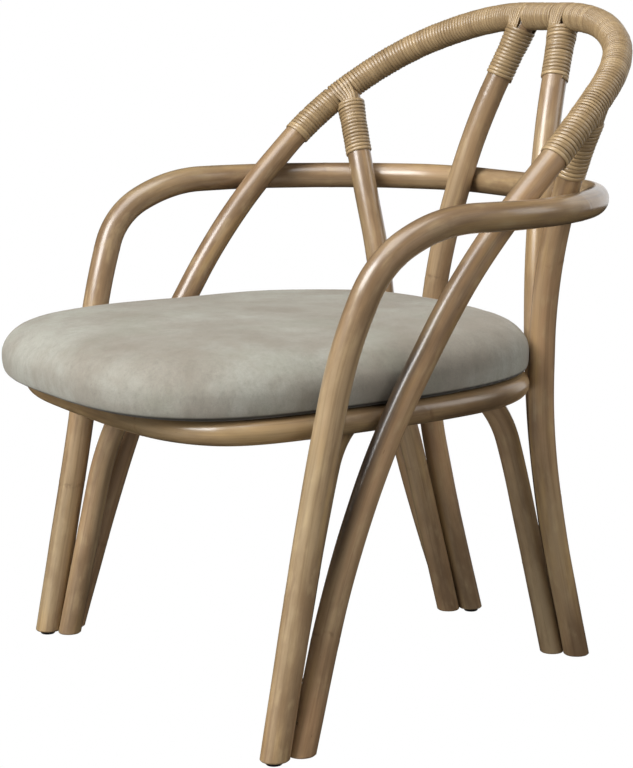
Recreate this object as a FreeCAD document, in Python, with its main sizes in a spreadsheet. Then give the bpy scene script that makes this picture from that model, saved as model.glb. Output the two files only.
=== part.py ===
"""Lounge chair of bent rattan poles with a round upholstered seat pad.

Millimetres, +Z up, +X to the sitter's left seen from the front, -Y to the front.  The origin is
on the floor under the middle of the chair.  Every pole is a round pole bent to straight runs
joined by tangent arcs; poles that cross lie against each other, one joint gap apart.
"""
import FreeCAD, Part
import math
import os

import Sketcher

Vector = FreeCAD.Vector
Rotation = FreeCAD.Rotation
Placement = FreeCAD.Placement

X_AXIS = Vector(1, 0, 0)
Y_AXIS = Vector(0, 1, 0)
Z_AXIS = Vector(0, 0, 1)

# Driving sizes, in millimetres and degrees
SIZES = {
    # poles
    "arm_pole_dia": 32.0,
    "arch_pole_dia": 30.0,
    "spindle_pole_dia": 30.0,
    "ring_pole_dia": 28.0,
    "support_pole_dia": 28.0,
    "joint_gap": 0.3,
    # frame
    "arm_half_span": 316.0,
    "frame_depth": 516.0,
    "arm_height": 563.0,
    "arch_height": 767.0,
    "front_foot_half_span": 296.5,
    "rear_foot_half_span": 138.5,
    "rear_cluster_angle": 161.0,
    "spindle_top_half_span": 39.0,
    # seat ring, a tilted plane through seat_height above the origin
    "seat_height": 350.0,
    "seat_tilt": 1.1,
    "ring_waist_y": -135.0,
    "ring_front_depth": 155.5,
    "ring_rear_depth": 333.0,
    # seat pad
    "pad_thickness": 73.5,
    "pad_waist_offset": 7.5,
    "pad_front_overhang": 64.0,
    "pad_rear_overhang": 21.0,
    "pad_base_waist_inset": 3.5,
    "pad_base_front_inset": 31.5,
    "pad_base_rear_inset": 11.0,
    "pad_bearing": 2.0,
    "soft_gap": 0.5,
    "cover_thickness": 1.5,
    "cover_hem": 34.0,
    "board_thickness": 12.0,
    "dust_cover_thickness": 0.8,
    # cane binding
    "cane_dia": 3.0,
    "cane_pitch": 4.6,
    "cane_gap": 0.3,
    "sleeve_thickness": 2.2,
    "outer_binding_start": 28.5,
    "outer_binding_length": 64.0,
    "outer_joint_window": 31.5,
    "inner_binding_start": 24.0,
    "inner_binding_length": 53.0,
    "inner_joint_window": 24.0,
    # fixings
    "glide_dia": 18.0,
    "glide_height": 4.4,
    "glide_edge": 1.0,
    "nail_dia": 2.4,
    "nail_length": 20.0,
    "screw_shank_dia": 4.0,
    "screw_length": 42.0,
    "board_screw_length": 37.0,
    "screw_head_dia": 8.0,
    "screw_head_height": 3.2,
    "screw_sink": 1.0,
    "peg_dia": 8.0,
    "peg_length": 36.0,
    "bore_clearance": 0.1,
    "foot_screw_height": 40.0,
    "cut_overrun": 30.0,
}

# Routes of the poles' axes, right-hand half, from the floor up.
# x as a share of the half span, y of the frame depth, z of the height named beside each.
ARM_ROUTE_SHARES = (
    # arm_half_span, frame_depth, arm_height
    (0.927, -0.331, 0.470),
    (0.960, -0.273, 0.757),
    (1.010, -0.204, 0.932),
    (1.000, -0.050, 1.000),
    (1.021, 0.176, 1.000),
    (0.829, 0.407, 1.000),
    (0.484, 0.571, 1.000),
)
ARM_FOOT_Y_SHARE = -0.430
# Poles lean, so their feet stand a little further apart than they lie against each other
FOOT_SPREAD_SHARE = 1.035
ARCH_ROUTE_SHARES = (
    # the arch's own half span, frame_depth, arch_height
    (1.000, -0.267, 0.233),
    (1.000, -0.149, 0.435),
    (1.000, 0.068, 0.672),
    (1.000, 0.326, 0.844),
    (0.830, 0.525, 0.944),
    (0.392, 0.638, 1.000),
)
OUTER_ROUTE_SHARES = (
    # arm_half_span, frame_depth, arm_height
    (0.486, 0.455, 0.308),
    (0.529, 0.401, 0.543),
    (0.570, 0.392, 0.806),
    (0.685, 0.391, 1.000),
)
OUTER_FOOT_Y_SHARE = 0.553
INNER_ROUTE_SHARES = (
    (0.372, 0.507, 0.265),
    (0.393, 0.455, 0.525),
    (0.343, 0.467, 0.809),
    (0.240, 0.536, 1.117),
)
SUPPORT_ROUTE_SHARES = (
    # arm_half_span, frame_depth, seat_height
    (0.831, -0.292, 0.700),
    (0.740, -0.203, 1.000),
    (0.380, 0.266, 1.000),
    (0.375, 0.361, 0.869),
    (0.370, 0.401, 0.680),
)
# Height of the outer spindles' tops, between the arm rail's height and the arch's
OUTER_TOP_HEIGHT_SHARE = 0.551
BINDING_END_LENGTH_SHARE = 0.313
BEND_SHARE = 0.47
RING_EXPONENT = 3.5
PAD_EXPONENT = 2.85
PAD_BASE_EXPONENT = 3.2
OUTLINE_NORMALS = (0.0, 20.0, 45.0, 70.0, 90.0)

# Profile of the seat pad: share from the base outline to the full one with its height share,
# then shares of the full outline with their height shares
PAD_LOWER_SHARES = ((0.0, 0.0), (0.5, 0.045), (0.76, 0.107), (0.91, 0.198), (1.0, 0.333))
PAD_UPPER_SHARES = (
    (0.996, 0.500),
    (0.972, 0.645),
    (0.938, 0.748),
    (0.885, 0.822),
    (0.805, 0.880),
    (0.690, 0.927),
    (0.540, 0.962),
    (0.360, 0.987),
    (0.160, 1.000),
)

BOARD_SCREW_SHARES = (0.35, 0.70)
SETTLE_PASSES = 8
HALVINGS = 30
# Where the seam of each pole's surface lies, clear of its screws
SEAM_ANGLE = 125.0
TURN_STEPS = 4
STEP_SHARE = 0.0001

doc = FreeCAD.newDocument("lounge_chair")
sheet = doc.addObject("Spreadsheet::Sheet", "sizes")
for row, (alias, value) in enumerate(SIZES.items(), start=1):
    sheet.set("A%d" % row, alias)
    sheet.set("B%d" % row, str(value))
    sheet.setAlias("B%d" % row, alias)
doc.recompute()

nodes = []


def size(alias):
    """Value of one named size."""
    return float(sheet.get(alias))


def radius(pole):
    """Radius of a kind of pole."""
    return size(pole + "_pole_dia") / 2


def reach(pole, other):
    """Distance between the axes of two poles that lie against each other."""
    return radius(pole) + radius(other) + size("joint_gap")


def keep(item, label):
    """Name a finished sub-part, which is written under that name."""
    item.Label = label
    nodes.append(item)
    return item


def mirrored(point):
    return Vector(-point.x, point.y, point.z)


def side_point(point, side):
    return Vector(point.x * side, point.y, point.z)


# Routes and wires


def bend(before, corner, after, tangent):
    """Start, middle and end of the arc that rounds a corner with a given tangent length."""
    arrive = (corner - before).normalize()
    leave = (after - corner).normalize()
    start = corner - arrive * tangent
    end = corner + leave * tangent
    middle = (start + end) / 2
    half = (end - start).Length / 2
    depth = (corner - middle).Length
    turn = math.pi - 2 * math.atan2(half, depth)
    sagitta = half * math.tan(turn / 4)
    return start, middle + (corner - middle).normalize() * sagitta, end


def rounded(points, closed=False):
    """Straight runs and tangent arcs along a list of corners, as curves."""
    count = len(points)
    corners = range(count) if closed else range(1, count - 1)
    curves = []
    last = None if closed else points[0]
    arcs = []
    for i in corners:
        before, corner, after = points[i - 1], points[i], points[(i + 1) % count]
        tangent = BEND_SHARE * min((corner - before).Length, (after - corner).Length)
        arcs.append(bend(before, corner, after, tangent))
    for i, (start, middle, end) in enumerate(arcs):
        if last is None:
            last = arcs[-1][2]
        curves.append(Part.LineSegment(last, start))
        curves.append(Part.Arc(start, middle, end))
        last = end
    if not closed:
        curves.append(Part.LineSegment(last, points[-1]))
    return curves


def wire_of(points, closed=False):
    return Part.Wire([curve.toShape() for curve in rounded(points, closed)])


def symmetric(half):
    """Wire through a right-hand half route and its mirror image."""
    return wire_of(half + [mirrored(point) for point in reversed(half)])


def along(wire, length):
    """Point and direction of a wire at a length from its start."""
    for edge in wire.OrderedEdges:
        if length <= edge.Length:
            flipped = edge.Orientation == "Reversed"
            at = edge.Length - length if flipped else length
            parameter = edge.getParameterByLength(at)
            direction = edge.tangentAt(parameter)
            return edge.valueAt(parameter), direction * (-1 if flipped else 1)
        length -= edge.Length
    edge = wire.OrderedEdges[-1]
    return edge.valueAt(edge.LastParameter), edge.tangentAt(edge.LastParameter)


def part_of(wire, start, end):
    """Piece of a wire between two lengths from its start."""
    pieces = []
    done = 0.0
    for edge in wire.OrderedEdges:
        low = max(start - done, 0.0)
        high = min(end - done, edge.Length)
        if high > low:
            first = edge.getParameterByLength(low)
            second = edge.getParameterByLength(high)
            pieces.append(edge.Curve.toShape(first, second))
        done += edge.Length
    return Part.Wire(pieces)


def on_route(shares, spans, heights):
    """Points of a route from its shares."""
    return [
        Vector(x * spans, y * size("frame_depth"), z * heights)
        for x, y, z in shares
    ]


def settled(start, build, other, target):
    """Value that leaves the wire made from it the target distance from another wire."""
    value = start
    for _ in range(SETTLE_PASSES):
        value -= target - build(value).distToShape(other)[0]
    return value


def nested(first, second, first_reach, second_reach, side):
    """Centre that lies at two given distances from two others, on one side of their line."""
    line = second - first
    apart = line.Length
    share = (first_reach**2 - second_reach**2 + apart**2) / (2 * apart)
    off = math.sqrt(first_reach**2 - share**2)
    line.normalize()
    return first + line * share + Vector(line.y, -line.x, 0) * off * side


def arm_route():
    foot = Vector(size("front_foot_half_span"), ARM_FOOT_Y_SHARE * size("frame_depth"), 0)
    return [foot] + on_route(ARM_ROUTE_SHARES, size("arm_half_span"), size("arm_height"))


arm_half = arm_route()
arm_wire = symmetric(arm_half)
arch_foot = arm_half[0] + Y_AXIS * reach("arm", "arch") * FOOT_SPREAD_SHARE


def arch_route(half_span):
    return [arch_foot] + on_route(ARCH_ROUTE_SHARES, half_span, size("arch_height"))


arch_half_span = settled(
    size("arm_half_span") - reach("arm", "arch"),
    lambda span: symmetric(arch_route(span)),
    arm_wire,
    reach("arm", "arch"),
)
arch_half = arch_route(arch_half_span)
arch_wire = symmetric(arch_half)
ring_half_width = arch_half_span - reach("arch", "ring")

seat_place = Placement(
    Vector(0, 0, size("seat_height")), Rotation(X_AXIS, size("seat_tilt"))
)


def outline(half_width, waist, front, rear, exponent):
    """Corners round a rounded seat outline: the crossings of its tangents, from its formula."""
    power = exponent / (exponent - 1)
    rising = OUTLINE_NORMALS[:-1]
    falling = [90.0 - turn for turn in reversed(OUTLINE_NORMALS[1:])]
    angles = []
    for quarter in range(4):
        steps = falling if quarter % 2 else rising
        angles += [math.radians(90.0 * quarter + step) for step in steps]
    lines = []
    for angle in angles:
        depth = rear if math.sin(angle) > 0 else front
        width_part = abs(half_width * math.cos(angle)) ** power
        depth_part = abs(depth * math.sin(angle)) ** power
        lines.append((angle, (width_part + depth_part) ** (1 / power)))
    corners = []
    for i, (angle, distance) in enumerate(lines):
        other, other_distance = lines[(i + 1) % len(lines)]
        cross = math.sin(other - angle)
        x = (distance * math.sin(other) - other_distance * math.sin(angle)) / cross
        y = (other_distance * math.cos(angle) - distance * math.cos(other)) / cross
        corners.append(Vector(x, y + waist, 0))
    return corners


ring_corners = outline(
    ring_half_width,
    size("ring_waist_y"),
    size("ring_front_depth"),
    size("ring_rear_depth"),
    RING_EXPONENT,
)
ring_wire = wire_of(ring_corners, closed=True)
ring_wire.Placement = seat_place

# Rear legs that run on upwards as the back spindles

outer_foot = Vector(size("rear_foot_half_span"), OUTER_FOOT_Y_SHARE * size("frame_depth"), 0)
cluster = math.radians(size("rear_cluster_angle"))
cluster_reach = reach("spindle", "spindle") * FOOT_SPREAD_SHARE
inner_foot = outer_foot + Vector(math.cos(cluster), math.sin(cluster), 0) * cluster_reach
half_length = arch_wire.Length / 2


def length_at(wire, height, low, high):
    """Length along a rising stretch of a wire at which it reaches a height."""
    for _ in range(HALVINGS):
        middle = (low + high) / 2
        if along(wire, middle)[0].z < height:
            low = middle
        else:
            high = middle
    return low


outer_top_rise = (size("arch_height") - size("arm_height")) * OUTER_TOP_HEIGHT_SHARE
outer_top_length = length_at(arch_wire, size("arm_height") + outer_top_rise, 0.0, half_length)
outer_top = along(arch_wire, outer_top_length)[0]
inner_top_length = half_length - size("spindle_top_half_span")
inner_top = along(arch_wire, inner_top_length)[0]


def outer_route(seat_shift, rail_shift):
    points = on_route(OUTER_ROUTE_SHARES, size("arm_half_span"), size("arm_height"))
    points[1] = points[1] + Y_AXIS * seat_shift
    points[2] = points[2] + Y_AXIS * seat_shift
    points[3] = points[3] + Y_AXIS * rail_shift
    return [outer_foot] + points + [outer_top]


def inner_route(seat_shift, rail_shift):
    points = on_route(INNER_ROUTE_SHARES, size("arm_half_span"), size("arm_height"))
    points[1] = points[1] + Y_AXIS * seat_shift
    points[2] = points[2] + Y_AXIS * seat_shift
    points[3] = points[3] + Y_AXIS * rail_shift
    return [inner_foot] + points + [inner_top]


rail_shift = 0.0
ring_shift = 0.0
for _ in range(2):
    rail_shift = settled(
        rail_shift,
        lambda shift: wire_of(outer_route(ring_shift, shift)),
        arm_wire,
        reach("arm", "spindle"),
    )
    ring_shift = -settled(
        -ring_shift,
        lambda shift: wire_of(outer_route(-shift, rail_shift)),
        ring_wire,
        reach("ring", "spindle"),
    )
outer_half = outer_route(ring_shift, rail_shift)
inner_half = inner_route(
    ring_shift,
    settled(
        0.0,
        lambda shift: wire_of(inner_route(ring_shift, shift)),
        arm_wire,
        reach("arm", "spindle"),
    ),
)

# Supports under the seat pad, one inverted U on each side

support_front_foot = nested(
    arm_half[0],
    arch_foot,
    reach("arm", "support") * FOOT_SPREAD_SHARE,
    reach("arch", "support") * FOOT_SPREAD_SHARE,
    -1,
)
support_rear_foot = nested(
    outer_foot,
    inner_foot,
    reach("spindle", "support") * FOOT_SPREAD_SHARE,
    reach("spindle", "support") * FOOT_SPREAD_SHARE,
    -1,
)


def on_seat(x, y):
    """Point of the seat ring's plane."""
    rise = math.tan(math.radians(size("seat_tilt")))
    return Vector(x, y, size("seat_height") + y * rise)


def support_route(front_shift):
    points = on_route(SUPPORT_ROUTE_SHARES, size("arm_half_span"), size("seat_height"))
    points[1] = on_seat(points[1].x + front_shift, points[1].y)
    points[2] = on_seat(points[2].x, points[2].y)
    return [support_front_foot] + points + [support_rear_foot]


support_half = support_route(
    settled(
        0.0,
        lambda shift: wire_of(support_route(shift)),
        ring_wire,
        reach("ring", "support"),
    )
)


# Building blocks


def at_point(point, direction):
    """Placement of something built along +Z, turned to a direction."""
    return Placement(point, Rotation(Z_AXIS, direction))


def pipe(wire, pipe_radius):
    """Round solid along an open wire."""
    point, direction = along(wire, 0.0)
    circle = Part.Wire(Part.makeCircle(pipe_radius, point, direction))
    return wire.makePipeShell([circle], True, False)


def pole_sweep(name, wire, diameter_alias):
    """Round pole swept along its axis, with its diameter tied to the sheet."""
    path = doc.addObject("Part::Feature", name + "_path")
    path.Shape = wire
    section = doc.addObject("Part::Circle", name + "_section")
    section.setExpression("Radius", "sizes.%s / 2" % diameter_alias)
    point, direction = along(wire, 0.0)
    seam = SEAM_ANGLE if point.x > 0 else 180.0 - SEAM_ANGLE
    section.Placement = at_point(point, direction).multiply(
        Placement(Vector(), Rotation(Z_AXIS, seam))
    )
    sweep = doc.addObject("Part::Sweep", name + "_pole")
    sweep.Sections = [section]
    sweep.Spine = (path, ["Edge%d" % (i + 1) for i in range(len(wire.Edges))])
    sweep.Solid = True
    sweep.Frenet = False
    return sweep


def cut_from(base, tools, label):
    """Sub-part made by cutting a group of tools from another object."""
    tool = doc.addObject("Part::Feature", label + "_bores")
    tool.Shape = tools[0].multiFuse(tools[1:]) if len(tools) > 1 else tools[0]
    cut = doc.addObject("Part::Cut", label + "_cut")
    cut.Base = base
    cut.Tool = tool
    return keep(cut, label)


def sketch_on(body, role, name):
    """Sketch on one of a body's own origin planes."""
    sketch = body.newObject("Sketcher::SketchObject", name)
    plane = [item for item in body.Origin.OriginFeatures if item.Role == role]
    sketch.AttachmentSupport = [(plane[0], "")]
    sketch.MapMode = "FlatFace"
    return sketch


def turned_body(name, profile):
    """Body turned about +Z from a closed half profile of (radius, height) points."""
    body = doc.addObject("PartDesign::Body", name)
    sketch = sketch_on(body, "XZ_Plane", name + "_profile")
    points = [Vector(x, z, 0) for x, z in profile]
    for i, point in enumerate(points):
        sketch.addGeometry(Part.LineSegment(point, points[(i + 1) % len(points)]), False)
    turn = body.newObject("PartDesign::Revolution", name + "_turn")
    turn.Profile = sketch
    turn.ReferenceAxis = (sketch, ["V_Axis"])
    turn.Angle = 360
    return body


# Fixings


def screw_profile(length, growth, overrun):
    """Half profile of a countersunk screw that points up +Z, head at the bottom."""
    shank = size("screw_shank_dia") / 2 + growth
    head = size("screw_head_dia") / 2 + growth
    taper = size("screw_head_height")
    tip = size("screw_shank_dia")
    points = [(0, -overrun), (head, -overrun)]
    if overrun:
        points.append((head, 0))
    points += [(shank, taper), (shank, length - tip), (0, length + growth)]
    return points


def screw_and_bore(name, length):
    """One kind of screw and the bore that it sits in."""
    made = turned_body(name + "_master", screw_profile(length, 0.0, 0.0))
    bore = turned_body(
        name + "_bore_master",
        screw_profile(length, size("bore_clearance"), size("screw_sink") * 2),
    )
    return made, bore


screw, screw_bore = screw_and_bore("screw", size("screw_length"))
board_screw, board_screw_bore = screw_and_bore("board_screw", size("board_screw_length"))
doc.recompute()


def placed(master, place):
    copy = master.Shape.copy()
    copy.Placement = place
    return copy


joints = []


def join(near, far, near_pole, start, end):
    """Screw from the near pole into the far one, through two points on their axes."""
    direction = (end - start).normalize()
    head = start - direction * (radius(near_pole) - size("screw_sink"))
    joints.append((near, far, at_point(head, direction)))


def crossing(wire, other):
    """Nearest points of two wires."""
    pair = wire.distToShape(other)[1][0]
    return pair[0], pair[1]


def on_first_run(points, height):
    """Point of a route's first run at a height above the floor."""
    share = height / points[1].z
    return points[0] + (points[1] - points[0]) * share


support_rear_end = [support_half[-1], support_half[-2]]
for side, sign in (("right", 1), ("left", -1)):
    def handed(points, sign=sign):
        return [side_point(point, sign) for point in points]

    arm_side = handed(arm_half)
    arch_side = handed(arch_half)
    outer_side = handed(outer_half)
    inner_side = handed(inner_half)
    support_side = handed(support_half)
    names = {part: "%s_%s" % (part, side) for part in ("outer", "inner", "support")}
    height = size("foot_screw_height")
    join("arch", "arm", "arch", on_first_run(arch_side, height), on_first_run(arm_side, height))
    rear_end = handed(support_rear_end)
    join(
        names["inner"],
        names["outer"],
        "spindle",
        on_first_run(inner_side, height),
        on_first_run(outer_side, height),
    )
    join(
        names["support"],
        "arch",
        "support",
        on_first_run(support_side, height * 2),
        on_first_run(arch_side, height * 2),
    )
    join(
        names["support"],
        names["inner"],
        "support",
        on_first_run(rear_end, height * 2),
        on_first_run(inner_side, height * 2),
    )
    wires = {
        "outer": wire_of(outer_side),
        "inner": wire_of(inner_side),
        "support": wire_of(support_side),
        "arch": wire_of(arch_side),
    }
    start, end = crossing(wires["arch"], arm_wire)
    join("arch", "arm", "arch", start, end)
    start, end = crossing(ring_wire, wires["arch"])
    join("ring", "arch", "ring", start, end)
    start, end = crossing(ring_wire, wires["outer"])
    join("ring", names["outer"], "ring", start, end)
    start, end = crossing(wires["support"], ring_wire)
    join(names["support"], "ring", "support", start, end)
    for part in ("outer", "inner"):
        start, end = crossing(arm_wire, wires[part])
        join("arm", names[part], "arm", start, end)


def bores_of(name):
    """Screw bores in one pole."""
    return [placed(screw_bore, place) for near, far, place in joints if name in (near, far)]


floor_half_width = size("arm_half_span") + size("cut_overrun")
floor_half_depth = size("frame_depth") + size("cut_overrun")
floor_cut = Part.makeBox(
    floor_half_width * 2,
    floor_half_depth * 2,
    size("cut_overrun"),
    Vector(-floor_half_width, -floor_half_depth, size("glide_height") - size("cut_overrun")),
)


def nail_bore(point):
    """Bore for a glide's nail, up into a pole's end."""
    return Part.makeCylinder(
        size("nail_dia") / 2 + size("bore_clearance"),
        size("nail_length") + size("glide_height") + size("bore_clearance"),
        Vector(point.x, point.y, 0),
    )


peg_tops = {}
for part, half in (("outer", outer_half), ("inner", inner_half)):
    for side, sign in (("right", 1), ("left", -1)):
        top = side_point(half[-1], sign)
        direction = (top - side_point(half[-2], sign)).normalize()
        middle = top - direction * radius("arch")
        peg_tops["%s_%s" % (part, side)] = (middle, direction)


def peg(spindle, growth):
    """Peg through a spindle's top into the arch."""
    middle, direction = peg_tops[spindle]
    length = size("peg_length") + growth * 2
    start = middle - direction * length / 2
    return Part.makeCylinder(size("peg_dia") / 2 + growth, length, start, direction)


# Poles

arm_tools = [floor_cut] + bores_of("arm")
arm_tools += [nail_bore(arm_half[0]), nail_bore(mirrored(arm_half[0]))]
cut_from(pole_sweep("arm", arm_wire, "arm_pole_dia"), arm_tools, "arm_rail")

arch_tools = [floor_cut] + bores_of("arch")
arch_tools += [peg(spindle, size("bore_clearance")) for spindle in peg_tops]
cut_from(pole_sweep("arch", arch_wire, "arch_pole_dia"), arch_tools, "back_arch")

arch_envelope_radius = radius("arch") + size("joint_gap")
saddle = size("spindle_pole_dia") * 2
spindles = (
    ("outer", outer_half, outer_top_length),
    ("inner", inner_half, inner_top_length),
)
for part, half, top_length in spindles:
    for side, sign in (("right", 1), ("left", -1)):
        name = "%s_%s" % (part, side)
        points = [side_point(point, sign) for point in half]
        middle = top_length if sign > 0 else arch_wire.Length - top_length
        cope = pipe(
            part_of(arch_wire, middle - saddle, middle + saddle), arch_envelope_radius
        )
        tools = [floor_cut, cope, peg(name, size("bore_clearance"))]
        tools += bores_of(name)
        if part == "inner":
            tools.append(nail_bore(points[0]))
        sweep = pole_sweep(name, wire_of(points), "spindle_pole_dia")
        cut_from(sweep, tools, "spindle_%s_%s" % (part, side))

board_screws = []
for side, sign in (("right", 1), ("left", -1)):
    name = "support_" + side
    points = [side_point(point, sign) for point in support_half]
    up = seat_place.Rotation.multVec(Z_AXIS)
    for share in BOARD_SCREW_SHARES:
        spot = points[2] + (points[3] - points[2]) * share
        head = spot - up * (radius("support") - size("screw_sink"))
        board_screws.append((name, at_point(head, up)))
    tools = [floor_cut] + bores_of(name)
    tools += [placed(board_screw_bore, place) for near, place in board_screws if near == name]
    sweep = pole_sweep(name, wire_of(points), "support_pole_dia")
    cut_from(sweep, tools, "seat_support_" + side)

# Seat ring

ring = doc.addObject("PartDesign::Body", "ring_body")
ring_path = sketch_on(ring, "XY_Plane", "ring_path")
ring_curves = rounded(ring_corners, closed=True)
for curve in ring_curves:
    ring_path.addGeometry(curve, False)
ring_section = sketch_on(ring, "YZ_Plane", "ring_section")
front_y = size("ring_waist_y") - size("ring_front_depth")
ring_section.addGeometry(
    Part.Circle(Vector(front_y, 0, 0), Z_AXIS, radius("ring")), False
)
ring_section.addConstraint(Sketcher.Constraint("Diameter", 0, size("ring_pole_dia")))
ring_section.setExpression("Constraints[0]", "sizes.ring_pole_dia")
ring_pipe = ring.newObject("PartDesign::AdditivePipe", "ring_pipe")
ring_pipe.Profile = ring_section
ring_pipe.Spine = ring_path
ring.Placement = seat_place
doc.recompute()
cut_from(ring, bores_of("ring"), "seat_ring")

# Seat pad, in the seat's own tilted frame

pad_floor = radius("ring") + size("joint_gap")
pad_half_width = arch_half_span - radius("arch") - size("soft_gap")
pad_base_half_width = ring_half_width + size("pad_bearing")
pad_waist = size("ring_waist_y") + size("pad_waist_offset")
pad_front = size("ring_front_depth") + size("pad_front_overhang")
pad_rear = size("ring_rear_depth") + size("pad_rear_overhang")


def blend(share, inset):
    """Corners of a pad outline between the base's (share 0) and the fullest one (share 1)."""
    def mix(low, high):
        return low + (high - low) * share

    return outline(
        mix(pad_base_half_width, pad_half_width) - inset,
        mix(pad_waist - size("pad_base_waist_inset"), pad_waist),
        mix(pad_front - size("pad_base_front_inset"), pad_front) - inset,
        mix(pad_rear - size("pad_base_rear_inset"), pad_rear) - inset,
        mix(PAD_BASE_EXPONENT, PAD_EXPONENT),
    )


def lifted(corners, height):
    return [corner + Z_AXIS * height for corner in corners]


def pad_sections(inset, foot_height=None):
    """Closed wires up a crowned pad with drawn-in sides, inset all round."""
    tall = size("pad_thickness") - inset * 2
    foot = pad_floor + inset
    sections = []
    before = None
    for share, rise in PAD_LOWER_SHARES:
        height = foot + tall * rise
        if foot_height is not None and height <= foot_height:
            before = (share, height)
            continue
        if before is not None:
            part = (foot_height - before[1]) / (height - before[1])
            first = before[0] + (share - before[0]) * part
            sections.append(lifted(blend(first, inset), foot_height))
            before = None
        sections.append(lifted(blend(share, inset), height))
    centre = Vector(0, pad_waist, 0)
    for share, rise in PAD_UPPER_SHARES:
        full = blend(1.0, inset)
        shrunk = [centre + (corner - centre) * share for corner in full]
        sections.append(lifted(shrunk, foot + tall * rise))
    return [wire_of(corners, closed=True) for corners in sections]


def walls(wires):
    """Side faces of a loft, without its ends."""
    return Part.makeLoft(wires, False, True).Faces


def ring_face(outer, inner):
    """Flat face between two closed wires."""
    return Part.makeFace([outer, inner], "Part::FaceMakerCheese")


def pad_piece(label, shape):
    piece = doc.addObject("Part::Feature", label)
    piece.Shape = shape
    piece.Placement = seat_place
    return keep(piece, label)


fabric = size("cover_thickness")
close = size("joint_gap")
outside = pad_sections(0.0)
cavity = pad_sections(fabric)
opening = blend(0.0, size("cover_hem"))
opening_low = wire_of(lifted(opening, pad_floor), closed=True)
opening_high = wire_of(lifted(opening, pad_floor + fabric), closed=True)
cover_faces = walls(outside) + walls(cavity)
cover_faces += [Part.Face(outside[-1]), Part.Face(cavity[-1])]
cover_faces += [ring_face(outside[0], opening_low), ring_face(cavity[0], opening_high)]
cover_faces += walls([opening_low, opening_high])
cover_shell = Part.makeShell(cover_faces)
cover_shell.sewShape()
cover = Part.makeSolid(cover_shell)
if cover.Volume < 0:
    cover.reverse()
pad_piece("seat_cover", cover)
board_foot = pad_floor + fabric + close
foam_foot = board_foot + size("board_thickness") + close
foam_sections = pad_sections(fabric + size("soft_gap"), foam_foot)
pad_piece("seat_foam", Part.makeLoft(foam_sections, True, True))

board = doc.addObject("PartDesign::Body", "board_body")
board_sketch = sketch_on(board, "XY_Plane", "board_outline")
for curve in rounded(blend(0.0, fabric + close * 2), closed=True):
    board_sketch.addGeometry(curve, False)
board_pad = board.newObject("PartDesign::Pad", "board_pad")
board_pad.Profile = board_sketch
board_pad.setExpression("Length", "sizes.board_thickness")
board.Placement = seat_place.multiply(Placement(Z_AXIS * board_foot, Rotation()))
doc.recompute()
board_bores = [placed(board_screw_bore, place) for name, place in board_screws]
cut_from(board, board_bores, "seat_board")

dust = doc.addObject("PartDesign::Body", "dust_body")
dust_sketch = sketch_on(dust, "XY_Plane", "dust_outline")
for curve in rounded(blend(0.0, size("cover_hem") + close), closed=True):
    dust_sketch.addGeometry(curve, False)
dust_pad = dust.newObject("PartDesign::Pad", "dust_pad")
dust_pad.Profile = dust_sketch
dust_pad.setExpression("Length", "sizes.dust_cover_thickness")
dust_foot = board_foot - close - size("dust_cover_thickness")
dust.Placement = seat_place.multiply(Placement(Z_AXIS * dust_foot, Rotation()))
doc.recompute()
cut_from(dust, board_bores, "seat_dust_cover")

# Cane bindings


def winding_point(wire, frames, turn, pitch, start, winding_radius):
    """Point of a helix round a wire, at a number of turns from its start."""
    length = start + turn * pitch
    point, direction = along(wire, length)
    across = frames(direction)
    angle = 2 * math.pi * turn
    other = direction.cross(across)
    return point + across * winding_radius * math.cos(angle) + other * winding_radius * math.sin(angle)


def biarc(start, start_direction, end, end_direction):
    """Two tangent arcs from one point and direction to another, as curves."""
    span = end - start
    both = start_direction + end_direction
    a = both.dot(both) - 4
    b = -2 * span.dot(both)
    c = span.dot(span)
    reach_length = (-b - math.sqrt(b * b - 4 * a * c)) / (2 * a)
    first = start + start_direction * reach_length
    second = end - end_direction * reach_length
    middle = (first + second) / 2
    curves = []
    for begin, corner, finish in ((start, first, middle), (middle, second, end)):
        half = (finish - begin).Length / 2
        centre = (begin + finish) / 2
        depth = (corner - centre).Length
        turn = math.pi - 2 * math.atan2(half, depth)
        bulge = centre + (corner - centre).normalize() * half * math.tan(turn / 4)
        curves.append(Part.Arc(begin, bulge, finish))
    return curves


def winding(wire, start, end, pole):
    """One unbroken cane wound round a pole between two lengths of its axis."""
    winding_radius = radius(pole) + size("cane_dia") / 2 + size("cane_gap")
    pitch = size("cane_pitch")
    turns = int((end - start) / pitch)
    point, direction = along(wire, start)
    aside = X_AXIS if abs(direction.x) < abs(direction.y) else Y_AXIS

    def across(way):
        return (aside - way * aside.dot(way)).normalize()

    count = turns * TURN_STEPS

    def spot(step):
        return winding_point(wire, across, step / TURN_STEPS, pitch, start, winding_radius)

    spots = []
    for step in range(count + 1):
        ahead = spot(step + STEP_SHARE) - spot(step - STEP_SHARE)
        spots.append((spot(step), ahead.normalize()))
    tail = size("cane_dia")
    curves = [Part.LineSegment(spots[0][0] - spots[0][1] * tail, spots[0][0])]
    for (begin, way), (finish, finish_way) in zip(spots, spots[1:]):
        curves += biarc(begin, way, finish, finish_way)
    curves.append(Part.LineSegment(spots[-1][0], spots[-1][0] + spots[-1][1] * tail))
    path = Part.Wire([curve.toShape() for curve in curves])
    gap = math.inf
    for step in range(count * 2 - TURN_STEPS * 2):
        here = spot(step / 2)
        near = min(
            (spot(step / 2 + TURN_STEPS + offset / 8) - here).Length for offset in range(-4, 5)
        )
        gap = min(gap, near - size("cane_dia"))
    return pipe(path, size("cane_dia") / 2), gap, turns


def add_winding(label, wire, start, end, pole):
    shape, gap, turns = winding(wire, start, end, pole)
    piece = doc.addObject("Part::Feature", label)
    piece.Shape = shape
    keep(piece, label)
    print("%s: %d turns, least gap to itself %.2f mm" % (label, turns, gap))


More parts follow.
